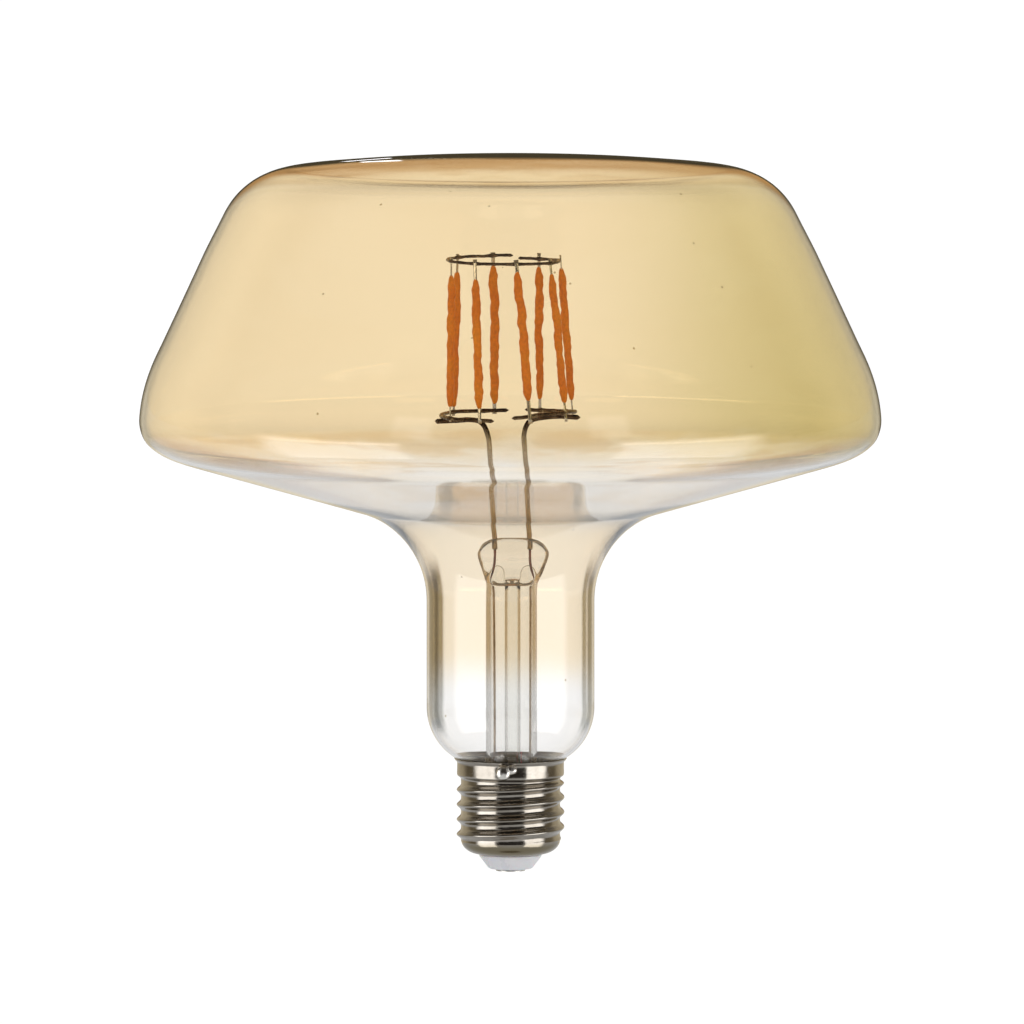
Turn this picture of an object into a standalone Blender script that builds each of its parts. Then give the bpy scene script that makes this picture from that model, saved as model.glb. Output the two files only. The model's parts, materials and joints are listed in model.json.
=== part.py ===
"""LED filament lamp: a wide drum-shaped amber glass on a slim neck, with a screw cap and its driver inside.

Metres, +Z up. The lamp stands cap down, with its axis on Z and the centre contact's flat end at the origin.
Lengths are written in millimetres and turned into metres by mm().
"""

import math

import bpy
import bmesh
from mathutils import Matrix, Vector

# ---- Driving dimensions, in millimetres ----

# Blown glass: a shallow crown, a round shoulder, a sloping side, a rim that tightens as it turns under,
# a sloping underside and the neck.
GLASS_RADIUS = 90.2
GLASS_TOP = 173.3
GLASS_WALL = 0.9
CROWN_RADIUS = 780.0
SHOULDER_RADIUS = 19.5
SIDE_SLOPE = math.radians(25)
RIM_BLEND_RADIUS = 45.0
RIM_BLEND_END = math.radians(4)
RIM_RADIUS = 9.2
RIM_HEIGHT = 110.2
UNDERSIDE_SLOPE = math.radians(16.1)
NECK_FILLET = 22.6
NECK_RADIUS = 20.4
NECK_BASE_RADIUS = 14.6
NECK_BASE_HEIGHT = 40.1
SEAL_FILLET = 2.5
SEAL_RADIUS = 10.9
SEAL_END = 19.5

# Stem: a flared tube, pressed flat round the leads at its top, with the exhaust tube inside.
STEM_RADIUS = 6.15
STEM_WALL = 1.0
STEM_FLARE_RADIUS = 9.7
STEM_FLARE_START = 31.0
PRESS_START = 70.5
PRESS_WIDEST = 78.3
PRESS_TOP = 82.0
PRESS_RADIUS = 8.6
PRESS_FLATNESS = 0.36
EXHAUST_RADIUS = 1.9
EXHAUST_WALL = 0.55
EXHAUST_TIP = 15.5
EXHAUST_HOLE_RADIUS = 1.0
EXHAUST_HOLE_HEIGHT = 72.8

# Leads: thick supports above the press, thin sealing wires through it, and thin wires down the stem.
LEAD_X = 4.35
SUPPORT_RADIUS = 0.65
SUPPORT_FOOT = 79.0
SUPPORT_ARM_HEIGHT = 110.0
SEALING_RADIUS = 0.25
STEM_LEAD_RADIUS = 0.32

# Filament cage: two open arcs below, one open ring above, and the filaments between them.
CAGE_ARC_RADIUS = 16.3
CAGE_ARC_WIRE = 0.4
CAGE_ARC_CENTRE = -0.7
CAGE_RING_RADIUS = 13.7
CAGE_RING_WIRE = 0.3
CAGE_RING_CENTRE = -1.7
CAGE_RING_HEIGHT = 149.2
LEFT_ARC_DEGREES = (89, 258)
RIGHT_ARC_DEGREES = (-86, 75)
RING_DEGREES = (82, 434)
FILAMENT_DEGREES = (  # where each filament meets the ring above and an arc below
    (201, 212),
    (145, 144),
    (241, 245),
    (102, 102),
    (282, 288),
    (53, 62),
    (326, 328),
    (16, 18),
)
STRIP_WIDTH = 0.7
STRIP_THICKNESS = 0.25
STRIP_OVERHANG = 0.7
PHOSPHOR_RADIUS = 0.95
PHOSPHOR_LENGTH = 33.2
PHOSPHOR_TAPER = 1.4

# Screw cap: nominal 27 mm Edison thread, 7 turns to the inch.
THREAD_PITCH = 25.4 / 7
THREAD_CREST = 13.12
THREAD_ROOT = 12.1
THREAD_SHARPNESS = 1.5
THREAD_PHASE = 18.09
THREAD_TOP = 22.4
THREAD_BOTTOM = 7.6
THREAD_RUNOUT = 1.1
SHELL_WALL = 0.3
SKIRT_RADIUS = 13.0
SKIRT_BOTTOM = 23.2
SKIRT_TOP = 26.5
LIP_RADIUS = 13.65
LIP_HEIGHT = 27.4
SHELL_END_RADIUS = 7.9
SHELL_END = 4.4
INSULATOR_BOTTOM = 0.55
INSULATOR_TOP = 7.0
CONTACT_RADIUS = 3.6
CONTACT_FLAT = 3.0
CONTACT_HEAD = 0.42
PIN_RADIUS = 0.9
PIN_TOP = 6.5

# Driver board, on edge behind the exhaust tube.
BOARD_FRONT = 2.6
BOARD_THICKNESS = 1.0
BOARD_HALF_WIDTH = 9.2
BOARD_BOTTOM = 8.2
BOARD_TOP = 17.8

FINE_GAP = 0.1
GLASS_SEGMENTS = 40
CAP_SEGMENTS = 32
SMALL_SEGMENTS = 16
THREAD_STEPS = 6  # heights of the thread modelled in each pitch

PARTS = "led_filament_lamp"
CUTTERS = "cutters"


def mm(*values):
    """Millimetres as metres: one number, or a tuple of them."""
    scaled = tuple(value / 1000 for value in values)
    return scaled[0] if len(scaled) == 1 else scaled


# ---- Scene, materials and basic shapes ----


def clear_scene():
    for obj in list(bpy.data.objects):
        bpy.data.objects.remove(obj)
    for name in (PARTS, CUTTERS):
        collection = bpy.data.collections.new(name)
        bpy.context.scene.collection.children.link(collection)


def finish(name, colour, roughness, metallic=0.0, transmission=0.0):
    material = bpy.data.materials.new(name)
    material.use_nodes = True
    shader = material.node_tree.nodes["Principled BSDF"]
    shader.inputs["Base Color"].default_value = (*colour, 1)
    shader.inputs["Roughness"].default_value = roughness
    shader.inputs["Metallic"].default_value = metallic
    shader.inputs["Transmission Weight"].default_value = transmission
    material.diffuse_color = (*colour, 1)
    return material


def add_part(name, data, material):
    """A named part in the object's own collection."""
    obj = bpy.data.objects.new(name, data)
    bpy.data.collections[PARTS].objects.link(obj)
    if not data.materials:
        data.materials.append(material)
    return obj


def make_cutter(obj):
    """Turns a part into a hidden tool for a Boolean."""
    bpy.data.collections[PARTS].objects.unlink(obj)
    bpy.data.collections[CUTTERS].objects.link(obj)
    obj.hide_render = True
    obj.display_type = "WIRE"
    return obj


def cut(obj, *cutters):
    for cutter in cutters:
        boolean = obj.modifiers.new("Cut " + cutter.name, "BOOLEAN")
        boolean.operation = "DIFFERENCE"
        boolean.object = cutter


def join(obj, *others):
    """Unites the others with obj, as one body."""
    for other in others:
        boolean = obj.modifiers.new("Join " + other.name, "BOOLEAN")
        boolean.operation = "UNION"
        boolean.object = make_cutter(other)


def shade_round(mesh, angle=40):
    mesh.shade_smooth()
    mesh.set_sharp_from_angle(angle=math.radians(angle))


def baked_mesh(obj):
    """The object's shape with its modifiers applied, as a mesh. The object is removed."""
    bpy.context.view_layer.update()
    graph = bpy.context.evaluated_depsgraph_get()
    mesh = bpy.data.meshes.new_from_object(obj.evaluated_get(graph))
    mesh.name = obj.name
    bpy.data.objects.remove(obj)
    return mesh


def turned(name, profile, material, segments=SMALL_SEGMENTS, surface=False):
    """Spins (radius, height) points about Z. The points run down the outer side and then back up inside.

    A profile that misses the axis is closed, unless it is a surface still to be given a wall.
    """
    mesh = bpy.data.meshes.new(name)
    edges = [(i, i + 1) for i in range(len(profile) - 1)]
    on_axis = profile[0][0] == 0 and profile[-1][0] == 0
    if not surface and not on_axis:
        edges.append((len(profile) - 1, 0))
    mesh.from_pydata([mm(r, 0, z) for r, z in profile], edges, [])
    obj = add_part(name, mesh, material)
    screw = obj.modifiers.new("Spin", "SCREW")
    screw.steps = screw.render_steps = segments
    screw.use_merge_vertices = True
    screw.merge_threshold = 1e-6
    return obj


def give_wall(obj, wall):
    solidify = obj.modifiers.new("Wall", "SOLIDIFY")
    solidify.thickness = mm(wall)
    solidify.offset = -1
    solidify.use_even_offset = True


def block(name, low, high, material, bevel=0.0):
    """A box between two corners, with its edges rounded where bevel is given."""
    low, high = Vector(mm(*low)), Vector(mm(*high))
    shape = bmesh.new()
    bmesh.ops.create_cube(shape, size=1)
    bmesh.ops.scale(shape, vec=high - low, verts=shape.verts)
    mesh = bpy.data.meshes.new(name)
    shape.to_mesh(mesh)
    shape.free()
    obj = add_part(name, mesh, material)
    obj.location = (low + high) / 2
    if bevel:
        rounding = obj.modifiers.new("Edges", "BEVEL")
        rounding.width = mm(bevel)
        rounding.segments = 1
    return obj


def wire(name, points, radius, material):
    """A round wire through points in millimetres."""
    curve = bpy.data.curves.new(name, "CURVE")
    curve.dimensions = "3D"
    curve.bevel_depth = mm(radius)
    curve.bevel_resolution = 2
    curve.use_fill_caps = True
    spline = curve.splines.new("POLY")
    spline.points.add(len(points) - 1)
    for target, point in zip(spline.points, points):
        target.co = (*mm(*point), 1)
    return add_part(name, curve, material)


# ---- Outlines ----


def arc(centre, radius, start, end, steps):
    """Points on an arc, with its angles in radians from the +radius axis."""
    angles = [start + (end - start) * i / steps for i in range(steps + 1)]
    return [
        (centre[0] + radius * math.cos(a), centre[1] + radius * math.sin(a))
        for a in angles
    ]


def circle_at(degrees, radius, centre_x, height):
    """A point on a level circle whose centre is on the X axis."""
    angle = math.radians(degrees)
    return (
        centre_x + radius * math.cos(angle),
        radius * math.sin(angle),
        height,
    )


def smooth_step(value, start, end):
    """0 before start, 1 after end, and an even ease between."""
    share = min(max((value - start) / (end - start), 0.0), 1.0)
    return share * share * (3 - 2 * share)


def smooth_path(points, spans=4):
    """Points on a Catmull-Rom curve through the given ones."""
    knots = [Vector(p) for p in points]
    knots = [2 * knots[0] - knots[1], *knots, 2 * knots[-1] - knots[-2]]
    path = []
    for before, start, end, after in zip(knots, knots[1:], knots[2:], knots[3:]):
        for i in range(spans):
            t = i / spans
            path.append(
                start
                + t * (end - before) / 2
                + t * t * (before - 2.5 * start + 2 * end - after / 2)
                + t * t * t * (1.5 * (start - end) + (after - before) / 2)
            )
    return [*path, knots[-2]]


def glass_outline():
    """The glass's outer side, from the middle of its crown down to the end that is sealed in the cap."""
    # The rim's circle touches the widest radius. A wider one blends it into the side.
    rim = Vector((GLASS_RADIUS - RIM_RADIUS, RIM_HEIGHT))
    blend_normal = Vector((math.cos(RIM_BLEND_END), math.sin(RIM_BLEND_END)))
    blend = rim - (RIM_BLEND_RADIUS - RIM_RADIUS) * blend_normal
    side_normal = Vector((math.cos(SIDE_SLOPE), math.sin(SIDE_SLOPE)))
    side_up = Vector((-math.sin(SIDE_SLOPE), math.cos(SIDE_SLOPE)))
    # The shoulder's circle touches the side and lies inside the crown's large circle.
    crown = Vector((0, GLASS_TOP - CROWN_RADIUS))
    track = blend + (RIM_BLEND_RADIUS - SHOULDER_RADIUS) * side_normal - crown
    along = -track.dot(side_up) + math.sqrt(
        track.dot(side_up) ** 2
        - track.length_squared
        + (CROWN_RADIUS - SHOULDER_RADIUS) ** 2
    )
    shoulder = crown + track + along * side_up
    crown_edge = math.atan2(shoulder.y - crown.y, shoulder.x)
    # The neck's fillet is a circle outside the glass, touching the underside and the neck.
    under_normal = Vector((math.sin(UNDERSIDE_SLOPE), -math.cos(UNDERSIDE_SLOPE)))
    fillet_x = NECK_RADIUS + NECK_FILLET
    fillet_y = (
        RIM_HEIGHT
        + (NECK_FILLET + RIM_RADIUS - (fillet_x - rim.x) * under_normal.x)
        / under_normal.y
    )
    # The base of the neck rounds in, then turns down again into the seal.
    base = (NECK_RADIUS - NECK_BASE_RADIUS, NECK_BASE_HEIGHT)
    seal_x = SEAL_RADIUS + SEAL_FILLET
    reach = NECK_BASE_RADIUS + SEAL_FILLET
    seal_y = base[1] - math.sqrt(reach**2 - (seal_x - base[0]) ** 2)
    seal_angle = math.atan2(seal_y - base[1], seal_x - base[0])
    quarter = math.pi / 2
    return [
        *arc(crown, CROWN_RADIUS, quarter, crown_edge, 3)[:-1],
        *arc(shoulder, SHOULDER_RADIUS, crown_edge, SIDE_SLOPE, 6),
        *arc(blend, RIM_BLEND_RADIUS, SIDE_SLOPE, RIM_BLEND_END, 3)[:-1],
        *arc(rim, RIM_RADIUS, RIM_BLEND_END, UNDERSIDE_SLOPE - quarter, 6),
        *arc(
            (fillet_x, fillet_y),
            NECK_FILLET,
            quarter + UNDERSIDE_SLOPE,
            math.pi,
            5,
        ),
        *arc(base, NECK_BASE_RADIUS, 0, seal_angle, 5),
        *arc((seal_x, seal_y), SEAL_FILLET, seal_angle + math.pi, math.pi, 2)[1:],
        (SEAL_RADIUS, SEAL_END),
    ]


# ---- Glass and stem ----


def make_glass(material):
    outline = glass_outline()
    outline[0] = (0, GLASS_TOP)
    glass = turned(
        "glass_envelope", outline, material, GLASS_SEGMENTS, surface=True
    )
    give_wall(glass, GLASS_WALL)


def make_stem(glass):
    """The flared tube with its flattened top, pierced for the leads and for the exhaust."""
    hollow = STEM_RADIUS - STEM_WALL
    outer = [
        (0, PRESS_TOP),
        (0.52 * PRESS_RADIUS, PRESS_TOP),
        (0.80 * PRESS_RADIUS, PRESS_TOP - 0.6),
        (0.95 * PRESS_RADIUS, PRESS_TOP - 2.0),
        (PRESS_RADIUS, PRESS_WIDEST),
        (0.96 * PRESS_RADIUS, PRESS_WIDEST - 2.1),
        (0.87 * PRESS_RADIUS, PRESS_WIDEST - 4.3),
        (0.77 * PRESS_RADIUS, PRESS_WIDEST - 6.1),
        (STEM_RADIUS, PRESS_START),
    ]
    flare_drop = STEM_FLARE_START - SEAL_END
    flare_reach = STEM_FLARE_RADIUS - STEM_RADIUS
    flare = [
        (STEM_RADIUS + flare_reach * t**2.2, STEM_FLARE_START - flare_drop * t)
        for t in (0, 0.3, 0.6, 0.85, 1)
    ]
    inside = [(r - STEM_WALL, z) for r, z in reversed(flare)]
    roof = [(hollow, PRESS_START - 1.5), (0.78 * hollow, PRESS_START - 0.3)]
    profile = [*outer, *flare, *inside, *roof, (0, PRESS_START + 0.1)]
    mesh = baked_mesh(turned("stem_glass", profile, glass, 20))
    for vertex in mesh.vertices:
        pressed = smooth_step(vertex.co.z, *mm(PRESS_START, PRESS_WIDEST - 2))
        vertex.co.y *= 1 - pressed * (1 - PRESS_FLATNESS)
    stem = add_part("stem_glass", mesh, glass)
    for side in (-1, 1):
        wide = SUPPORT_RADIUS + FINE_GAP
        narrow = SEALING_RADIUS + FINE_GAP
        hole = turned(
            f"lead_hole_{side}",
            [
                (0, PRESS_TOP + 1),
                (wide, PRESS_TOP + 1),
                (wide, SUPPORT_FOOT - FINE_GAP),
                (narrow, SUPPORT_FOOT - FINE_GAP),
                (narrow, PRESS_START - 3),
                (0, PRESS_START - 3),
            ],
            glass,
            10,
        )
        hole.location.x = mm(side * LEAD_X)
        cut(stem, make_cutter(hole))
    down = turned(
        "exhaust_channel",
        [
            (0, EXHAUST_HOLE_HEIGHT),
            (EXHAUST_HOLE_RADIUS, EXHAUST_HOLE_HEIGHT),
            (EXHAUST_HOLE_RADIUS, PRESS_START - 2),
            (0, PRESS_START - 2),
        ],
        glass,
        12,
    )
    across = turned(
        "exhaust_vent",
        [
            (0, 2 * STEM_RADIUS),
            (EXHAUST_HOLE_RADIUS, 2 * STEM_RADIUS),
            (EXHAUST_HOLE_RADIUS, -2 * STEM_RADIUS),
            (0, -2 * STEM_RADIUS),
        ],
        glass,
        12,
    )
    across.rotation_euler.x = math.pi / 2
    across.location.z = mm(EXHAUST_HOLE_HEIGHT)
    cut(stem, make_cutter(down), make_cutter(across))
    bore = EXHAUST_RADIUS - EXHAUST_WALL
    top = PRESS_START - 0.6
    turned(
        "exhaust_tube",
        [
            (EXHAUST_RADIUS, top),
            (EXHAUST_RADIUS, EXHAUST_TIP + 3.0),
            (0.8 * EXHAUST_RADIUS, EXHAUST_TIP + 1.0),
            (0.3 * EXHAUST_RADIUS, EXHAUST_TIP),
            (0, EXHAUST_TIP),
            (0, EXHAUST_TIP + 1.6),
            (0.6 * bore, EXHAUST_TIP + 2.0),
            (bore, EXHAUST_TIP + 3.4),
            (bore, top),
        ],
        glass,
        12,
    )


# ---- Leads and filament cage ----


def make_leads(nickel, dumet, copper):
    """Each side has a support with a level arm, a sealing wire, and a wire down the stem to the board."""
    foot = SUPPORT_FOOT
    arm = SUPPORT_ARM_HEIGHT
    supports = {
        "left": [
            (-LEAD_X, 0, foot),
            (-LEAD_X, 0, foot + 4),
            (-5.0, 0, 98),
            (-5.25, 0, 105),
            (-6.0, 0, 108.6),
            (-8.6, 0, arm),
            (-12.5, 0, arm),
            (-18.4, 0, arm),
        ],
        "right": [
            (LEAD_X, 0, foot),
            (LEAD_X, 0, foot + 4),
            (3.7, 0, 98),
            (3.2, 0, 105),
            (3.9, 0, 108.6),
            (6.4, 0, arm),
            (11.5, 0, arm),
            (17.0, 0, arm),
        ],
    }
    for side, sign in (("left", -1), ("right", 1)):
        x = sign * LEAD_X
        wire(f"support_lead_{side}", smooth_path(supports[side], 3), SUPPORT_RADIUS, nickel)
        top = SUPPORT_FOOT - FINE_GAP - 0.05
        seal_foot = PRESS_START - 1.0
        wire(f"sealing_wire_{side}", [(x, 0, top), (x, 0, seal_foot)], SEALING_RADIUS, dumet)
        wire(
            f"stem_wire_{side}",
            smooth_path(
                [
                    (x, 0, seal_foot - FINE_GAP),
                    (x, 0, 46),
                    (x, 0, 24),
                    (sign * 5.6, 0.4, 19.6),
                    (sign * 7.6, BOARD_FRONT - 0.75, 16.6),
                    (sign * 7.6, BOARD_FRONT - 0.75, 14.8),
                ],
                3,
            ),
            STEM_LEAD_RADIUS,
            copper,
        )


def arc_wire(name, degrees, radius, centre_x, height, thickness, material, rise=0.0):
    """A wire bent to part of a level circle. It climbs by rise from end to end."""
    start, end = degrees
    steps = max(8, round(abs(end - start) / 14))
    points = []
    for i in range(steps + 1):
        share = i / steps
        x, y, z = circle_at(start + (end - start) * share, radius, centre_x, height)
        points.append((x, y, z + rise * (share - 0.5)))
    return wire(name, points, thickness, material)


def make_cage(nickel, tin, phosphor):
    """The two lower arcs on the supports' arms, the upper ring, and the eight filaments."""
    arc_height = SUPPORT_ARM_HEIGHT + SUPPORT_RADIUS + CAGE_ARC_WIRE + FINE_GAP
    for name, degrees in (
        ("lower_arc_left", LEFT_ARC_DEGREES),
        ("lower_arc_right", RIGHT_ARC_DEGREES),
    ):
        arc_wire(
            name,
            degrees,
            CAGE_ARC_RADIUS,
            CAGE_ARC_CENTRE,
            arc_height,
            CAGE_ARC_WIRE,
            nickel,
        )
    arc_wire(
        "upper_ring",
        RING_DEGREES,
        CAGE_RING_RADIUS,
        CAGE_RING_CENTRE,
        CAGE_RING_HEIGHT,
        CAGE_RING_WIRE,
        nickel,
        rise=-0.5,
    )
    stand_off = STRIP_THICKNESS / 2 + FINE_GAP
    upper_radius = CAGE_RING_RADIUS + CAGE_RING_WIRE + stand_off
    lower_radius = CAGE_ARC_RADIUS + CAGE_ARC_WIRE + stand_off
    length = CAGE_RING_HEIGHT - arc_height + 2 * STRIP_OVERHANG
    strip_mesh, phosphor_mesh = filament_meshes(length, tin, phosphor)
    for number, (above, below) in enumerate(FILAMENT_DEGREES, 1):
        top = circle_at(above, upper_radius, CAGE_RING_CENTRE, CAGE_RING_HEIGHT)
        foot = circle_at(below, lower_radius, CAGE_ARC_CENTRE, arc_height)
        place = filament_place(Vector(mm(*top)), Vector(mm(*foot)), above)
        for name, mesh, material in (
            (f"filament_{number}_strip", strip_mesh, tin),
            (f"filament_{number}_phosphor", phosphor_mesh, phosphor),
        ):
            add_part(name, mesh, material).matrix_world = place


def filament_meshes(length, tin, phosphor):
    """A filament's flat strip and the phosphor round it, both centred on the origin and upright."""
    half_strip = (STRIP_WIDTH / 2, STRIP_THICKNESS / 2, length / 2)
    strip = block("strip", [-v for v in half_strip], half_strip, tin)
    half = PHOSPHOR_LENGTH / 2
    end = half - PHOSPHOR_TAPER
    coat = turned(
        "phosphor",
        [
            (0, half),
            (0.45 * PHOSPHOR_RADIUS, half - 0.1),
            (0.85 * PHOSPHOR_RADIUS, half - 0.5 * PHOSPHOR_TAPER),
            (PHOSPHOR_RADIUS, end),
            (PHOSPHOR_RADIUS, -end),
            (0.85 * PHOSPHOR_RADIUS, -half + 0.5 * PHOSPHOR_TAPER),
            (0.45 * PHOSPHOR_RADIUS, -half + 0.1),
            (0, -half),
        ],
        phosphor,
        10,
    )
    slot_size = (
        STRIP_WIDTH / 2 + FINE_GAP,
        STRIP_THICKNESS / 2 + FINE_GAP,
        length / 2,
    )
    slot = block("strip_slot", [-v for v in slot_size], slot_size, tin)
    cut(coat, make_cutter(slot))
    meshes = baked_mesh(strip), baked_mesh(coat)
    bpy.data.objects.remove(slot)
    return meshes


def filament_place(top, foot, degrees):
    """Puts local Z along the filament and local Y away from the lamp's axis, midway between its two ends."""
    upright = (top - foot).normalized()
    angle = math.radians(degrees)
    outward = Vector((math.cos(angle), math.sin(angle), 0))
    outward = (outward - outward.dot(upright) * upright).normalized()
    sideways = outward.cross(upright)
    turn = Matrix((sideways, outward, upright)).transposed().to_4x4()
    return Matrix.Translation((top + foot) / 2) @ turn


# ---- Screw cap ----


def shell_outline():
    """The cap shell's outer side, from its lip down to the insulator, with heights enough for the thread."""
    turns_height = THREAD_TOP - THREAD_BOTTOM
    rows = round(turns_height / THREAD_PITCH * THREAD_STEPS)
    thread = [
        (THREAD_ROOT, THREAD_TOP - turns_height * i / rows) for i in range(rows + 1)
    ]
    taper = THREAD_ROOT - SHELL_END_RADIUS
    drop = THREAD_BOTTOM - SHELL_END
    end = [
        (
            THREAD_ROOT - taper * (1 - math.cos(a)) * 0.9 - taper * 0.1 * math.sin(a),
            THREAD_BOTTOM - drop * math.sin(a),
        )
        for a in (math.radians(d) for d in (25, 50, 70, 90))
    ]
    return [
        (LIP_RADIUS, LIP_HEIGHT),
        (SKIRT_RADIUS + 0.15, SKIRT_TOP + 0.25),
        (SKIRT_RADIUS, SKIRT_TOP),
        (SKIRT_RADIUS, SKIRT_BOTTOM),
        (THREAD_ROOT + 0.25, THREAD_TOP + 0.35),
        *thread,
        *end,
    ]


def roll_thread(mesh):
    """Pushes the shell's wall out along a right-handed helix, fading at both ends of the thread."""
    for vertex in mesh.vertices:
        x, y, height = vertex.co * 1000
        fade = smooth_step(height, THREAD_BOTTOM - 0.2, THREAD_BOTTOM + THREAD_RUNOUT)
        fade *= 1 - smooth_step(height, THREAD_TOP - THREAD_RUNOUT, THREAD_TOP)
        phase = 2 * math.pi * (height - THREAD_PHASE) / THREAD_PITCH - math.atan2(y, x)
        crest = ((1 + math.cos(phase)) / 2) ** THREAD_SHARPNESS
        radius = math.hypot(x, y)
        push = 1 + (THREAD_CREST - THREAD_ROOT) * crest * fade / radius
        vertex.co.x *= push
        vertex.co.y *= push


def make_cap(nickel, plastic, tin, cement, copper):
    outline = shell_outline()
    mesh = baked_mesh(turned("cap_shell", outline, nickel, CAP_SEGMENTS, surface=True))
    roll_thread(mesh)
    shell = add_part("cap_shell", mesh, nickel)
    give_wall(shell, SHELL_WALL)
    notch = block("wire_notch", (-1.5, -14.5, 25.0), (-0.3, -11.5, 26.2), nickel)
    cut(shell, make_cutter(notch))
    make_insulator(plastic)
    make_contact(tin)
    make_cement(cement)
    make_side_solder(tin)
    neutral = [
        (-6.9, BOARD_FRONT - 0.4, 12.2),
        (-6.8, 0.8, 12.4),
        (-5.6, -4.4, 14.2),
        (-2.4, -9.8, 17.2),
        (-1.0, -11.15, 20.6),
        (-0.9, -11.5, 23.4),
        (-0.9, -11.8, 25.0),
        (-0.9, -12.3, 25.6),
        (-0.9, -12.95, 25.6),
    ]
    wire("neutral_wire", smooth_path(neutral, 2), 0.22, copper)


def make_insulator(plastic):
    """The white base: a collar inside the shell, a neck through its end, and the cone round the contact."""
    hole = PIN_RADIUS + FINE_GAP
    turned(
        "cap_insulator",
        [
            (8.6, INSULATOR_TOP),
            (9.4, INSULATOR_TOP - 0.4),
            (9.4, 5.9),
            (8.3, 5.05),
            (7.1, 5.0),
            (7.1, 4.3),
            (7.65, 3.95),
            (5.6, 1.4),
            (5.1, 0.85),
            (4.3, INSULATOR_BOTTOM),
            (hole, INSULATOR_BOTTOM),
            (hole, INSULATOR_TOP),
        ],
        plastic,
        CAP_SEGMENTS,
    )


def make_contact(tin):
    """The centre contact: a nail pressed up through the insulator, with a flat end."""
    turned(
        "centre_contact",
        [
            (0, PIN_TOP),
            (0.6 * PIN_RADIUS, PIN_TOP),
            (PIN_RADIUS, PIN_TOP - 0.4),
            (PIN_RADIUS, CONTACT_HEAD),
            (CONTACT_RADIUS - 0.1, CONTACT_HEAD),
            (CONTACT_RADIUS, CONTACT_HEAD - 0.12),
            (CONTACT_FLAT, 0),
            (0, 0),
        ],
        tin,
        24,
    )


def make_cement(cement):
    """The ring of capping cement between the glass and the skirt, with a way through for the neutral wire."""
    outer = SKIRT_RADIUS - SHELL_WALL - FINE_GAP
    inner = SEAL_RADIUS + FINE_GAP
    ring = turned(
        "capping_cement",
        [
            (outer, SKIRT_TOP - 0.3),
            (outer, SKIRT_BOTTOM + 0.5),
            (inner, SKIRT_BOTTOM + 0.5),
            (inner, SKIRT_TOP - 1.7),
            (inner + 0.55, SKIRT_TOP - 0.3),
        ],
        cement,
        CAP_SEGMENTS,
    )
    way = block("wire_way", (-1.3, -14, 22), (-0.5, -11.2, 28), cement)
    cut(ring, make_cutter(way))


def make_side_solder(tin):
    """The drop of solder that joins the neutral wire to the skirt, shaped to the skirt's outside."""
    shape = bmesh.new()
    bmesh.ops.create_uvsphere(shape, u_segments=12, v_segments=8, radius=mm(1))
    bmesh.ops.scale(shape, vec=(2.2, 1.35, 1.5), verts=shape.verts)
    mesh = bpy.data.meshes.new("side_solder")
    shape.to_mesh(mesh)
    shape.free()
    drop = add_part("side_solder", mesh, tin)
    drop.location = mm(-0.9, -SKIRT_RADIUS - 0.1, 25.3)
    clear = SKIRT_RADIUS + FINE_GAP
    body = turned(
        "skirt_clearance",
        [
            (0, 30),
            (LIP_RADIUS + FINE_GAP, 30),
            (LIP_RADIUS + FINE_GAP, LIP_HEIGHT - 0.3),
            (clear + 0.1, SKIRT_TOP + 0.1),
            (clear, SKIRT_TOP - 0.1),
            (clear, 20),
            (0, 20),
        ],
        tin,
        CAP_SEGMENTS,
    )
    cut(drop, make_cutter(body))


# ---- Driver and radio ----


def make_board(laminate):
    block(
        "driver_board",
        (-BOARD_HALF_WIDTH, BOARD_FRONT, BOARD_BOTTOM),
        (BOARD_HALF_WIDTH, BOARD_FRONT + BOARD_THICKNESS, BOARD_TOP),
        laminate,
    )


def make_chip(name, centre_x, centre_z, width, height, thickness, legs, resin):
    """A flat package on the board's front, with a row of legs above and below."""
    front = BOARD_FRONT - FINE_GAP
    body = block(
        name,
        (centre_x - width / 2, front - thickness, centre_z - height / 2),
        (centre_x + width / 2, front - 0.15, centre_z + height / 2),
        resin,
        bevel=0.15,
    )
    pitch = width / legs
    feet = [
        block(
            f"{name}_leg_{i}",
            (centre_x + (i + 0.3) * pitch - width / 2, front - 0.5, centre_z - height / 2 - 0.7),
            (centre_x + (i + 0.7) * pitch - width / 2, front, centre_z + height / 2 + 0.7),
            resin,
        )
        for i in range(legs)
    ]
    join(body, *feet)


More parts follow.
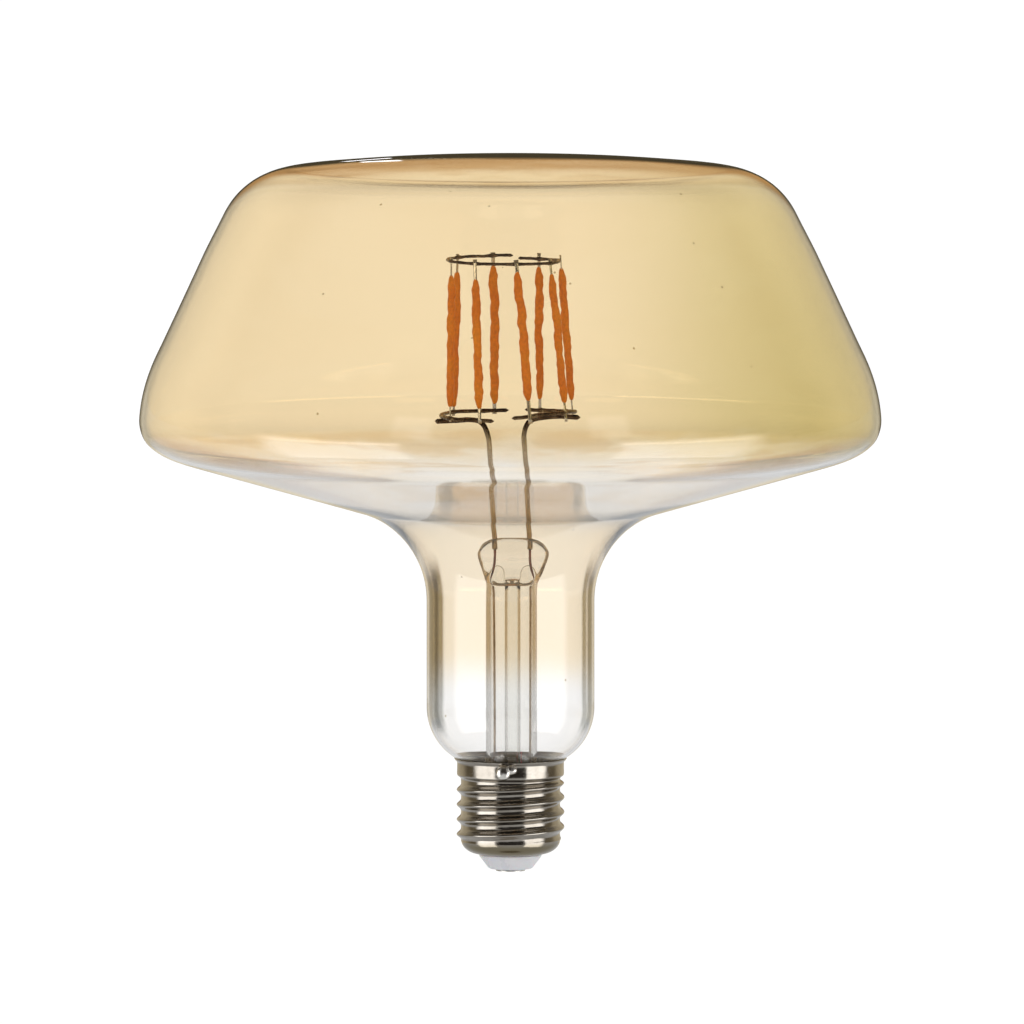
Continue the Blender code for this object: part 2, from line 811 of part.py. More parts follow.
def make_driver(resin, sleeve, ferrite, copper, ceramic, tin, laminate, insulation):
    back = BOARD_FRONT + BOARD_THICKNESS + FINE_GAP
    make_chip("bridge_rectifier", 6.1, 11.2, 4.6, 2.4, 1.4, 2, resin)
    make_chip("driver_chip", -3.9, 10.9, 4.4, 2.6, 1.4, 4, resin)
    can_radius, can_bottom, can_top = 3.1, 8.4, 17.2
    can = turned(
        "smoothing_capacitor",
        [
            (0, can_top),
            (can_radius - 0.4, can_top),
            (can_radius, can_top - 0.4),
            (can_radius, can_bottom + 1.6),
            (can_radius - 0.25, can_bottom + 1.2),
            (can_radius, can_bottom + 0.8),
            (can_radius, can_bottom + 0.2),
            (can_radius - 0.3, can_bottom),
            (0, can_bottom),
        ],
        sleeve,
    )
    can.location = mm(-3.3, back + can_radius, 0)
    core_x, core_y, core_bottom, core_top = 4.6, back + 2.5, 8.3, 12.9
    core = turned(
        "choke_core",
        [
            (0, core_top),
            (2.4, core_top),
            (2.4, core_top - 0.7),
            (1.1, core_top - 0.7),
            (1.1, core_bottom + 0.7),
            (2.4, core_bottom + 0.7),
            (2.4, core_bottom),
            (0, core_bottom),
        ],
        ferrite,
    )
    winding = turned(
        "choke_winding",
        [
            (2.15, core_top - 0.8),
            (2.15, core_bottom + 0.8),
            (1.2, core_bottom + 0.8),
            (1.2, core_top - 0.8),
        ],
        copper,
    )
    core.location = winding.location = mm(core_x, core_y, 0)
    fuse = turned(
        "fuse_resistor",
        [
            (0, 4.4),
            (0.27, 4.4),
            (0.27, 2.8),
            (1.0, 2.7),
            (1.2, 2.3),
            (1.05, 1.7),
            (1.05, -1.7),
            (1.2, -2.3),
            (1.0, -2.7),
            (0.27, -2.8),
            (0.27, -4.4),
            (0, -4.4),
        ],
        ceramic,
        12,
    )
    fuse.rotation_euler.y = math.pi / 2
    fuse.location = mm(0, -1.2, 10.4)
    live = [
        (0, 0, PIN_TOP + FINE_GAP),
        (0.1, -0.1, 7.3),
        (2.6, -1.2, 7.6),
        (5.6, -1.6, 8.6),
        (6.0, -1.3, 10.2),
        (5.2, -1.2, 10.4),
        (4.6, -1.2, 10.4),
    ]
    wire("live_wire", smooth_path(live, 3), 0.3, insulation)
    jumper = [
        (-4.6, -1.2, 10.4),
        (-5.4, -1.2, 10.4),
        (-7.4, -0.6, 9.6),
        (-8.3, 1.0, 9.2),
        (-8.3, BOARD_FRONT - 0.4, 9.2),
    ]
    wire("fuse_jumper", smooth_path(jumper, 3), 0.27, tin)
    make_radio(back, laminate, tin, insulation)


def make_radio(back, laminate, tin, insulation):
    """The radio daughterboard, its shield, and an antenna wire that reaches up past the metal cap's rim."""
    block("radio_board", (1.2, back, 13.4), (8.4, back + 0.6, 17.6), laminate)
    block(
        "radio_shield",
        (2.0, back + 0.6 + FINE_GAP, 13.8),
        (6.8, back + 1.7, 17.2),
        tin,
        bevel=0.2,
    )
    antenna = [
        (7.7, back + 1.0, 15.6),
        (7.7, back + 1.0, 17.6),
        (6.4, back + 0.5, 19.6),
        (4.3, 3.3, 22.0),
        (2.9, 2.9, 24.5),
        (2.7, 2.7, 29.0),
    ]
    wire("antenna_wire", smooth_path(antenna, 3), 0.25, insulation)


def main():
    clear_scene()
    amber_glass = finish("amber_glass", (0.86, 0.64, 0.30), 0.02, transmission=1.0)
    clear_glass = finish("clear_glass", (0.95, 0.95, 0.93), 0.02, transmission=1.0)
    nickel = finish("nickel_plate", (0.66, 0.62, 0.55), 0.18, metallic=1.0)
    lead_metal = finish("support_wire", (0.34, 0.27, 0.20), 0.35, metallic=1.0)
    dumet = finish("sealing_copper", (0.55, 0.26, 0.16), 0.35, metallic=1.0)
    copper = finish("tinned_copper", (0.72, 0.55, 0.42), 0.3, metallic=1.0)
    tin = finish("tin", (0.78, 0.77, 0.75), 0.25, metallic=1.0)
    phosphor = finish("phosphor", (0.78, 0.30, 0.03), 0.6)
    white_plastic = finish("white_plastic", (0.86, 0.86, 0.88), 0.35)
    cement = finish("cement", (0.52, 0.46, 0.36), 0.8)
    laminate = finish("board_green", (0.05, 0.24, 0.12), 0.5)
    resin = finish("black_resin", (0.03, 0.03, 0.03), 0.5)
    sleeve = finish("capacitor_sleeve", (0.04, 0.07, 0.16), 0.35)
    ferrite = finish("ferrite", (0.12, 0.12, 0.12), 0.6)
    ceramic = finish("resistor_coat", (0.25, 0.45, 0.55), 0.45)
    insulation = finish("wire_insulation", (0.75, 0.08, 0.06), 0.45)
    make_glass(amber_glass)
    make_stem(clear_glass)
    make_leads(lead_metal, dumet, copper)
    make_cage(lead_metal, tin, phosphor)
    make_cap(nickel, white_plastic, tin, cement, copper)
    make_board(laminate)
    make_driver(resin, sleeve, ferrite, copper, ceramic, tin, laminate, insulation)
    for obj in bpy.data.collections[PARTS].objects:
        if obj.type == "MESH":
            shade_round(obj.data)


main()
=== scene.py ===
"""Looks of the amber filament lamp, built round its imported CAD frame.

The frame and the pieces are in metres, +Z up. Shapes are written in millimetres, as in the CAD, and
scaled by mm(). Materials read the frame's metres.
"""

import json
import math

import bmesh
import bpy
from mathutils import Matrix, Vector, noise


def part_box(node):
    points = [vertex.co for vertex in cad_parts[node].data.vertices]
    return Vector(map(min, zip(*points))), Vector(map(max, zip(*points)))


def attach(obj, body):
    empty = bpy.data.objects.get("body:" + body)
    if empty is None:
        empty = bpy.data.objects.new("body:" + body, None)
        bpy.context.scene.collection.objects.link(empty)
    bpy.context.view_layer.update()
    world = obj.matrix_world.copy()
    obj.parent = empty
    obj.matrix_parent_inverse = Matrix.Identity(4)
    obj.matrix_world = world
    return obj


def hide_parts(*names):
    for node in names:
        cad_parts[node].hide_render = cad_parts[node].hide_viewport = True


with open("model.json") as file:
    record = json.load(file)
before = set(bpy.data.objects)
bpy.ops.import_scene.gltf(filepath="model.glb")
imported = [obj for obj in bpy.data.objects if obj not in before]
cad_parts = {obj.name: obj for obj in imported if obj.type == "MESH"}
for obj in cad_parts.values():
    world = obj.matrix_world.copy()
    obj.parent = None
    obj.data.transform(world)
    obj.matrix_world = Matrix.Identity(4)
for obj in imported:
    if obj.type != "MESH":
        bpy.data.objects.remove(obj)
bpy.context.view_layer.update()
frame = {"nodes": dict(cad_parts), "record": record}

QUARTER = math.pi / 2

# ---- Frame measures ----


def to_mm(vector):
    return [1000 * value for value in vector]


GLASS_LOW, GLASS_HIGH = (to_mm(corner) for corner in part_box("glass_envelope"))
PRESS_TOP = to_mm(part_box("stem_glass")[1])[2]
STEM_END = to_mm(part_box("stem_glass")[0])[2]
ARC_HEIGHT = sum(to_mm(corner)[2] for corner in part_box("lower_arc_left")) / 2
RING_HEIGHT = sum(to_mm(corner)[2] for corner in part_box("upper_ring")) / 2
ARM_HEIGHT = to_mm(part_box("support_lead_left")[1])[2]
LIP_HEIGHT = to_mm(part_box("cap_shell")[1])[2]
SLOTS = {part["node"]: part["material_slot"] for part in frame["record"]["subparts"]}


def mm(*values):
    return tuple(value / 1000 for value in values)


# ---- Node helpers ----


class Graph:
    """A node tree, with short calls to add and link nodes."""

    def __init__(self, tree):
        self.tree = tree

    def node(self, kind, **settings):
        added = self.tree.nodes.new("ShaderNode" + kind)
        for key, value in settings.items():
            if key in added.bl_rna.properties:
                setattr(added, key, value)
            else:
                added.inputs[key.replace("_", " ")].default_value = value
        return added

    def link(self, source, target):
        self.tree.links.new(source, target)

    def ramp(self, factor, *stops):
        """A colour ramp. Each stop is (position, colour or grey value)."""
        ramp = self.node("ValToRGB")
        elements = ramp.color_ramp.elements
        while len(elements) < len(stops):
            elements.new(0.5)
        for element, (position, colour) in zip(elements, stops):
            element.position = position
            grey = isinstance(colour, (int, float))
            element.color = (*([colour] * 3 if grey else colour), 1)
        self.link(factor, ramp.inputs[0])
        return ramp.outputs["Color"]

    def span(self, value, low, high, to_low=0.0, to_high=1.0, smooth=True):
        """Maps low..high to to_low..to_high, held at both ends."""
        kind = "SMOOTHSTEP" if smooth else "LINEAR"
        ranged = self.node("MapRange", interpolation_type=kind)
        for slot, number in enumerate((low, high, to_low, to_high), 1):
            ranged.inputs[slot].default_value = number
        self.link(value, ranged.inputs[0])
        return ranged.outputs[0]

    def maths(self, operation, first, second=0.0):
        worked = self.node("Math", operation=operation)
        for slot, source in enumerate((first, second)):
            if isinstance(source, (int, float)):
                worked.inputs[slot].default_value = source
            else:
                self.link(source, worked.inputs[slot])
        return worked.outputs[0]

    def times(self, *factors):
        product = factors[0]
        for factor in factors[1:]:
            product = self.maths("MULTIPLY", product, factor)
        return product

    def mix(self, factor, first, second, blend="MIX"):
        mixer = self.node("Mix", data_type="RGBA", blend_type=blend)
        for slot, source in ((0, factor), (6, first), (7, second)):
            if isinstance(source, (int, float)):
                mixer.inputs[slot].default_value = source
            elif isinstance(source, tuple):
                mixer.inputs[slot].default_value = (*source, 1)
            else:
                self.link(source, mixer.inputs[slot])
        return mixer.outputs[2]

    def seen_straight(self):
        """1 for what is seen directly or straight through glass, 0 for what is mirrored or lights solids."""
        path = self.node("LightPath").outputs
        turned = self.maths("ADD", path["Glossy Depth"], path["Diffuse Depth"])
        straight = self.maths("LESS_THAN", turned, 0.5)
        through = self.times(path["Is Transmission Ray"], straight)
        return self.maths("MAXIMUM", path["Is Camera Ray"], through)


class Shader(Graph):
    """A material's nodes."""

    def __init__(self, name):
        self.material = bpy.data.materials.new(name)
        self.material.use_nodes = True
        super().__init__(self.material.node_tree)
        self.surface = self.tree.nodes["Principled BSDF"]
        self.output = self.tree.nodes["Material Output"]

    def set(self, **values):
        for key, value in values.items():
            self.surface.inputs[key.replace("_", " ")].default_value = value

    def place(self):
        """Position on the piece, in metres."""
        return self.node("TexCoord").outputs["Object"]

    def component(self, vector, letter):
        axes = self.node("SeparateXYZ")
        self.link(vector, axes.inputs[0])
        return axes.outputs[letter]

    def axis(self, letter):
        return self.component(self.place(), letter)

    def noise(self, scale, detail=4.0, roughness=0.55, stretch=(1, 1, 1)):
        mapping = self.node("Mapping", Scale=stretch)
        texture = self.node("TexNoise", Scale=scale, Detail=detail, Roughness=roughness)
        self.link(self.place(), mapping.inputs[0])
        self.link(mapping.outputs[0], texture.inputs["Vector"])
        return texture.outputs["Fac"]

    def specks(self, scale, size):
        """1 at a few small seeds in the glass, 0 elsewhere."""
        cells = self.node("TexVoronoi", Scale=scale)
        self.link(self.place(), cells.inputs["Vector"])
        return self.span(cells.outputs["Distance"], size * 0.6, size, 1.0, 0.0)

    def lean(self):
        """How far the surface faces up: 1 up, 0 level, -1 down."""
        return self.component(self.node("NewGeometry").outputs["Normal"], "Z")

    def edge(self, power):
        """1 where the surface is seen edge-on, falling quickly to 0 as it turns to the viewer."""
        facing = self.node("LayerWeight", Blend=0.5).outputs["Facing"]
        return self.maths("POWER", facing, power)

    def absorb(self, colour, density):
        """Tints light by the length of its way through the piece."""
        volume = self.node("VolumeAbsorption", Color=(*colour, 1), Density=density)
        self.link(volume.outputs[0], self.output.inputs["Volume"])

    def colour(self, source):
        self.link(source, self.surface.inputs["Base Color"])

    def roughness(self, source):
        self.link(source, self.surface.inputs["Roughness"])

    def bump(self, height, distance, strength):
        bump = self.node("Bump", Distance=distance, Strength=strength)
        self.link(height, bump.inputs["Height"])
        self.link(bump.outputs[0], self.surface.inputs["Normal"])


# ---- Materials ----


GLASS_IOR = 1.5
GLASS_BODY = (0.6, 0.5, 0.35)
CLEAR = (1.0, 1.0, 1.0)
COATING = (0.985, 0.880, 0.690)
COATING_DEEP = (0.970, 0.862, 0.665)
# Painted shade: the coating's darker, yellower tone towards the right.
COATING_RIGHT_SHADE = (0.80, 0.715, 0.445)
COATING_THIN = (0.985, 0.922, 0.812)
# Painted reflection tint: the lower neck as mirrored rays see it.
MIRRORED_NECK = (0.82, 0.67, 0.47)
STREAK = (0.80, 0.62, 0.38)
SEED = (0.30, 0.22, 0.10)
# Painted shade where the glass is seen edge-on, on the drum and the crown.
EDGE_ON_SHADE = (0.16, 0.12, 0.07)
# Painted shade of the drum's outline.
DRUM_SHADE = (0.06, 0.045, 0.02)
# Painted shade on the neck's outline: brown up the neck, grey at its foot.
NECK_SHADE = (0.12, 0.08, 0.025)
BASE_SHADE = (0.24, 0.25, 0.24)
# Painted shade of the stem's outline.
STEM_SHADE = (0.06, 0.045, 0.03)

# Where one finish gives way to the next on the glass, in metres.
# The first span is where the painted shade on the right comes in.
RIGHT_SHADE_SPAN = (0.010, 0.088)
THIN_COAT_FOOT = (0.046, 0.058)
THIN_COAT_TOP = (0.087, 0.096)
COAT_FOOT = (0.102, 0.1085)
COAT_SLANT = 0.045
COAT_WAVES = 0.006
NECK_TOP = (0.084, 0.094)
MIRRORED_FOOT = (0.044, 0.059)
DRUM_FOOT = (0.088, 0.1)
BASE_SHADE_TOP = (0.040, 0.058)


def coated_glass(shader, height, neck):
    """The coating's colours, from the dense coat of the drum to the bare foot of the neck, with painted shade
    that makes it darker and yellower to the right, and a painted browner tint that mirrored rays see on the
    neck.
    """
    tint = shader.ramp(shader.noise(9, detail=3), (0.3, COATING), (0.7, COATING_DEEP))
    # Painted shade: the coating turns darker and yellower towards the right.
    tint = shader.mix(shader.span(shader.axis("X"), *RIGHT_SHADE_SPAN), tint, COATING_RIGHT_SHADE)
    slanted = shader.maths("ADD", height, shader.times(shader.axis("Y"), COAT_SLANT))
    glass = shader.mix(shader.span(height, *THIN_COAT_TOP), COATING_THIN, CLEAR)
    glass = shader.mix(shader.span(slanted, *COAT_FOOT), glass, tint)
    glass = shader.mix(shader.span(height, *THIN_COAT_FOOT), CLEAR, glass)
    # Painted reflection tint: on the lower neck, rays that were mirrored first see the glass browner.
    mirrored = shader.maths("GREATER_THAN", shader.node("LightPath").outputs["Glossy Depth"], 0.5)
    mirrored = shader.times(mirrored, neck, shader.span(height, *MIRRORED_FOOT))
    return shader.mix(mirrored, glass, shader.mix(1.0, glass, MIRRORED_NECK, "MULTIPLY"))


def neck_shade_lines(shader, glass, height, neck):
    """Painted shade: the neck's dark lines, where its wall turns away, and a brighter strip outside them."""
    facing = shader.edge(1)
    inner = shader.span(shader.axis("X"), -0.01, 0.01, 0.45, 0.56)
    shade_band = shader.span(shader.maths("SUBTRACT", facing, inner), 0.0, 0.08)
    level = shader.maths("ABSOLUTE", shader.lean())
    upright = shader.span(level, 0.22, 0.5, 1.0, 0.0)
    shade_band = shader.times(shade_band, shader.span(facing, 0.72, 0.82, 1.0, 0.1), neck, upright)
    # Painted shade: dark where the neck's wall is seen edge-on, grey towards its foot.
    line = shader.mix(shader.span(height, *BASE_SHADE_TOP), BASE_SHADE, NECK_SHADE)
    return shader.mix(shade_band, glass, line)


def drum_shade_outline(shader, glass):
    """A painted dark outline of shade on the drum's side, darkest where the glass is seen edge-on."""
    level = shader.maths("ABSOLUTE", shader.lean())
    steep = shader.span(level, 0.55, 0.85, 1.0, 0.0)
    drum = shader.span(shader.axis("Z"), *DRUM_FOOT)
    # Painted shade: the drum's side darkens where the glass is seen edge-on, with a darker outline.
    glass = shader.mix(shader.times(shader.edge(9), steep, drum), glass, EDGE_ON_SHADE)
    outline = shader.times(shader.span(shader.edge(1), 0.80, 0.90), steep, drum)
    return shader.mix(outline, glass, DRUM_SHADE)


def crown_streaks_and_shade(shader, glass):
    """Amber streaks on the level crown, and a painted dark line of shade where it is seen edge-on."""
    top = shader.span(shader.lean(), 0.93, 0.985)
    streaks = shader.span(shader.noise(26, detail=3, roughness=0.6), 0.46, 0.58)
    glass = shader.mix(shader.times(top, streaks, 0.75), glass, STREAK)
    # Painted shade: a dark line where the crown is seen edge-on.
    crown = shader.times(shader.edge(30), shader.span(shader.lean(), 0.8, 0.9))
    return shader.mix(crown, glass, EDGE_ON_SHADE)


def amber_glass():
    """Glass with an amber coating.

    It is dense on the drum down to the rim, where its edge runs a little lower at the back, and painted shade
    makes it darker and yellower to the right. The underside is clear, and the neck has a thinner coating that
    ends low on it. Painted dark outlines lie where the glass is seen edge-on, and mirrored rays see the lower
    neck browner.
    """
    shader = Shader("amber_glass")
    shader.set(Transmission_Weight=1.0, IOR=GLASS_IOR, Roughness=0.0)
    height = shader.maths("ADD", shader.axis("Z"), shader.times(shader.noise(60, detail=2), COAT_WAVES))
    neck = shader.span(shader.axis("Z"), *NECK_TOP, 1.0, 0.0)
    glass = coated_glass(shader, height, neck)
    glass = neck_shade_lines(shader, glass, height, neck)
    glass = drum_shade_outline(shader, glass)
    glass = crown_streaks_and_shade(shader, glass)
    shader.colour(shader.mix(shader.specks(75, 0.03), glass, SEED))
    shader.absorb(GLASS_BODY, 22)
    return shader.material


def clear_glass():
    """Clear glass of the stem, with painted shade where its wall is seen edge-on."""
    shader = Shader("clear_glass")
    shader.set(Transmission_Weight=1.0, IOR=GLASS_IOR, Roughness=0.0)
    tint = shader.ramp(shader.noise(40, detail=2), (0.3, (0.985, 0.99, 0.985)), (0.7, (1.0, 1.0, 0.995)))
    # Painted shade: the stem glass darkens where it is seen edge-on.
    shader.colour(shader.mix(shader.edge(2.9), tint, STEM_SHADE))
    shader.absorb(GLASS_BODY, 40)
    return shader.material


def metal(name, light, dark, roughness, stretch=(1, 1, 1)):
    """Worn metal: two tones, uneven polish and fine drawn or rolled marks."""
    shader = Shader(name)
    shader.set(Metallic=1.0)
    shader.colour(shader.ramp(shader.noise(225, detail=3), (0.35, dark), (0.65, light)))
    marks = shader.noise(900, detail=5, stretch=stretch)
    shader.roughness(shader.span(marks, 0.3, 0.7, *roughness, smooth=False))
    shader.bump(marks, 2e-5, 0.5)
    return shader.material


NICKEL = (0.345, 0.32, 0.285)
NICKEL_DARK = (0.27, 0.245, 0.21)
NICKEL_END_DARK = (0.205, 0.175, 0.115)
END_DARK_TOP = (0.0062, 0.0082)


def nickel_plate():
    """Bright nickel, uneven where it was rolled, and darker and browner on the rounded end by the insulator.
    """
    shader = Shader("nickel_plate")
    shader.set(Metallic=1.0)
    plate = shader.ramp(shader.noise(170, detail=3), (0.35, NICKEL_DARK), (0.65, NICKEL))
    # The rounded end below the thread is darker and browner.
    plate = shader.mix(shader.span(shader.axis("Z"), *END_DARK_TOP), NICKEL_END_DARK, plate)
    shader.colour(plate)
    marks = shader.noise(700, detail=5, stretch=(1, 1, 3))
    shader.roughness(shader.span(marks, 0.3, 0.7, 0.11, 0.20, smooth=False))
    shader.bump(shader.noise(260, detail=3), 6e-5, 0.5)
    return shader.material


BROWNED_FOOT = (0.104, 0.109)


def support_wire():
    """Nickel wire: bright below the cage, and browned by the welding from the level arms up."""
    shader = Shader("support_wire")
    shader.set(Metallic=1.0)
    marks = shader.noise(900, detail=5, stretch=(1, 1, 0.1))
    bright = shader.ramp(marks, (0.35, (0.45, 0.37, 0.27)), (0.65, (0.69, 0.59, 0.45)))
    tones = ((0.35, (0.07, 0.045, 0.028)), (0.52, (0.13, 0.09, 0.06)), (0.68, (0.34, 0.28, 0.21)))
    brown = shader.ramp(shader.noise(350, detail=4), *tones)
    shader.colour(shader.mix(shader.span(shader.axis("Z"), *BROWNED_FOOT), bright, brown))
    shader.roughness(shader.span(marks, 0.3, 0.7, 0.16, 0.32, smooth=False))
    shader.bump(marks, 2e-5, 0.5)
    return shader.material


def phosphor():
    """Orange silicone with phosphor powder, in darker and lighter patches."""
    shader = Shader("phosphor")
    # Painted glow: a faint emission in the coat's own colour stands in for light shining through the
    # silicone.
    shader.set(IOR=1.42, Emission_Strength=0.12)
    grains = shader.noise(1400, detail=3)
    patches = shader.noise(160, detail=4)
    tones = ((0.25, (0.73, 0.175, 0.002)), (0.5, (0.80, 0.225, 0.003)), (0.8, (0.85, 0.285, 0.005)))
    base = shader.ramp(patches, *tones)
    speckle = shader.ramp(grains, (0.35, 0.82), (0.65, 1.0))
    coat = shader.mix(1.0, base, speckle, "MULTIPLY")
    shader.colour(coat)
    shader.link(coat, shader.surface.inputs["Emission Color"])
    shader.roughness(shader.span(patches, 0.3, 0.7, 0.38, 0.55))
    shader.bump(grains, 4e-5, 0.6)
    return shader.material


def matte(name, light, dark, roughness, grain=500.0, bump=3e-5):
    """A dull solid: two tones and a fine uneven surface."""
    shader = Shader(name)
    patches = shader.noise(grain, detail=5)
    shader.colour(shader.ramp(patches, (0.35, dark), (0.65, light)))
    shader.roughness(shader.span(patches, 0.3, 0.7, roughness - 0.06, roughness + 0.06))
    shader.bump(patches, bump, 0.6)
    return shader.material


def insulator_plastic():
    """White moulded plastic with a faint flow pattern and a slight glow through it."""
    shader = Shader("white_plastic")
    shader.set(Subsurface_Weight=0.2, Subsurface_Scale=0.001)
    flow = shader.noise(220, detail=4, stretch=(1, 1, 0.3))
    shader.colour(shader.ramp(flow, (0.3, (0.70, 0.70, 0.73)), (0.7, (0.78, 0.78, 0.80))))
    shader.roughness(shader.span(flow, 0.3, 0.7, 0.25, 0.38))
    shader.bump(flow, 3e-5, 0.4)
    return shader.material


# Light and dark tone, least and most roughness, and for drawn wire the stretch of its marks.
DRAWN = (1, 1, 0.05)
METALS = {
    "sealing_copper": ((0.45, 0.20, 0.12), (0.20, 0.08, 0.05), (0.25, 0.4), DRAWN),
    "tinned_copper": ((0.62, 0.50, 0.38), (0.35, 0.26, 0.18), (0.2, 0.35), DRAWN),
    "tin": ((0.80, 0.78, 0.74), (0.58, 0.55, 0.50), (0.12, 0.3)),
}
# Light and dark tone, roughness, and where they differ from the usual the grain's scale and depth.
MATTES = {
    "cement": ((0.40, 0.34, 0.26), (0.20, 0.16, 0.11), 0.8, 900, 1e-4),
    "board_green": ((0.04, 0.26, 0.12), (0.02, 0.16, 0.07), 0.45, 1500),
    "black_resin": ((0.045, 0.045, 0.05), (0.02, 0.02, 0.02), 0.5, 2500),
    "capacitor_sleeve": ((0.03, 0.06, 0.18), (0.02, 0.03, 0.1), 0.3),
    "ferrite": ((0.14, 0.14, 0.14), (0.06, 0.06, 0.065), 0.6, 2500),
    "resistor_coat": ((0.22, 0.46, 0.55), (0.14, 0.34, 0.44), 0.4),
    "wire_insulation": ((0.70, 0.07, 0.05), (0.45, 0.03, 0.03), 0.45),
}


def make_materials():
    """One material for each slot of the record."""
    kit = {
        "amber_glass": amber_glass(),
        "clear_glass": clear_glass(),
        "nickel_plate": nickel_plate(),
        "support_wire": support_wire(),
        "phosphor": phosphor(),
        "white_plastic": insulator_plastic(),
    }
    kit.update({name: metal(name, *look) for name, look in METALS.items()})
    kit.update({name: matte(name, *look) for name, look in MATTES.items()})
    return kit


# ---- Outlines and meshes ----


def vectors(*points):
    return [Vector(point) for point in points]


def arc(centre, radius, start, end, steps):
    """Points on an arc in a (radius, height) plane."""
    angles = [start + (end - start) * i / steps for i in range(steps + 1)]
    return [Vector((centre[0] + radius * math.cos(a), centre[1] + radius * math.sin(a))) for a in angles]


def smooth_step(value, start, end):
    share = min(max((value - start) / (end - start), 0.0), 1.0)
    return share * share * (3 - 2 * share)


def smooth_path(points, spans=8):
    """Points on a Catmull-Rom curve through the given ones."""
    knots = [Vector(p) for p in points]
    knots = [2 * knots[0] - knots[1], *knots, 2 * knots[-1] - knots[-2]]
    path = []
    for before, start, end, after in zip(knots, knots[1:], knots[2:], knots[3:]):
        for i in range(spans):
            t = i / spans
            path.append(
                start
                + t * (end - before) / 2
                + t * t * (before - 2.5 * start + 2 * end - after / 2)
                + t * t * t * (1.5 * (start - end) + (after - before) / 2)
            )
    return [*path, knots[-2]]


def lengths_along(points):
    """The length of the line up to each of its points."""
    lengths = [0.0]
    for a, b in zip(points, points[1:]):
        lengths.append(lengths[-1] + (b - a).length)
    return lengths


def inset(outline, wall):
    """The outline moved inwards by the wall, whose thickness may depend on the point."""
    moved = []
    for i, point in enumerate(outline):
        before = outline[max(i - 1, 0)]
        after = outline[min(i + 1, len(outline) - 1)]
        along = (after - before).normalized()
        inward = Vector((along.y, -along.x))
        if i == 0:
            inward = Vector((0, -1))
        moved.append(point + inward * wall(point))
    return moved


def evened(points, spacing):
    """The same line with its points evenly spaced."""
    lengths = lengths_along(points)
    count = max(2, round(lengths[-1] / spacing))
    result = []
    k = 0
    for i in range(count + 1):
        target = lengths[-1] * i / count
        while k < len(points) - 2 and lengths[k + 1] < target:
            k += 1
        share = (target - lengths[k]) / max(lengths[k + 1] - lengths[k], 1e-9)
        result.append(points[k].lerp(points[k + 1], min(share, 1.0)))
    return result


def new_piece(name, mesh, kit, node):
    """Links a piece to the scene, rides it on the root body, gives it the material of the CAD node's slot and
    hides that node.
    """
    piece = bpy.data.objects.new(name, mesh)
    bpy.context.scene.collection.objects.link(piece)
    mesh.materials.append(kit[SLOTS[node]])
    mesh.shade_smooth()
    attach(piece, "root")
    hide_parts(node)


def new_mesh(name, vertices, faces):
    """A mesh from vertices in mm."""
    mesh = bpy.data.meshes.new(name)
    mesh.from_pydata([mm(*vertex) for vertex in vertices], [], faces)
    mesh.validate()
    return mesh


def lathe(name, profile, segments, closed, shift=None):
    """A mesh turned about Z from (radius, height) points in mm, down the outside and up the inside.

    closed joins the last point to the first. shift moves each point, and is told its row in the profile.
    """
    vertices, faces = [], []
    rings = []
    for row, (radius, height) in enumerate(profile):
        if radius < 1e-6:
            rings.append([len(vertices)])
            vertices.append((row, Vector((0, 0, height))))
            continue
        rings.append(list(range(len(vertices), len(vertices) + segments)))
        for i in range(segments):
            angle = 2 * math.pi * i / segments
            point = Vector((radius * math.cos(angle), radius * math.sin(angle), height))
            vertices.append((row, point))
    pairs = list(zip(rings, rings[1:]))
    if closed:
        pairs.append((rings[-1], rings[0]))
    for upper, lower in pairs:
        for i in range(segments):
            j = (i + 1) % segments
            corners = [upper[i % len(upper)], lower[i % len(lower)]]
            corners += [lower[j % len(lower)], upper[j % len(upper)]]
            faces.append(list(dict.fromkeys(corners)))
    points = [shift(point, row) if shift else point for row, point in vertices]
    return new_mesh(name, points, faces)


def sweep(name, path, radius, sides=16, flat=1.0, normal=None):
    """A mesh of round or flattened section along a path in mm. radius takes (share of the length, angle).

    The section is flat times as thick along normal as it is wide. Both ends are closed.
    """
    count = len(path) - 1
    lengths = lengths_along(path)
    ahead = [*path[1:], path[-1]]
    behind = [path[0], *path[:-1]]
    tangents = [(after - before).normalized() for after, before in zip(ahead, behind)]
    side = Vector(normal) if normal else tangents[0].orthogonal()
    vertices, faces = [], []
    for i, (point, tangent) in enumerate(zip(path, tangents)):
        side = (side - side.dot(tangent) * tangent).normalized()
        across = tangent.cross(side)
        share = lengths[i] / lengths[-1]
        for k in range(sides):
            angle = 2 * math.pi * k / sides
            reach = radius(share, angle)
            out = side * (flat * reach * math.cos(angle)) + across * (reach * math.sin(angle))
            vertices.append(point + out)
    for ring in range(0, count * sides, sides):
        for k in range(sides):
            n = (k + 1) % sides
            faces.append([ring + k, ring + n, ring + sides + n, ring + sides + k])
    for start, end, order in ((0, path[0], -1), (count * sides, path[-1], 1)):
        tip = len(vertices)
        vertices.append(end)
        for k in range(sides):
            pair = [start + k, start + (k + 1) % sides][::order]
            faces.append([*pair, tip])
    return new_mesh(name, vertices, faces)


def rounded_end(share, length, radius):
    """How much of its radius a bar keeps near its rounded ends."""
    edge = min(share, 1 - share) * length
    if edge >= radius:
        return 1.0
    return math.sqrt(max(1 - (1 - edge / radius) ** 2, 0.02))


def bumpy(seed, scale, point):
    """Smooth noise from -1 to 1 at a point, different for each seed."""
    offset = Vector((seed * 7.31, seed * 3.17, seed * 5.77))
    return noise.noise(Vector(point) * scale + offset)


# ---- Blown glass ----

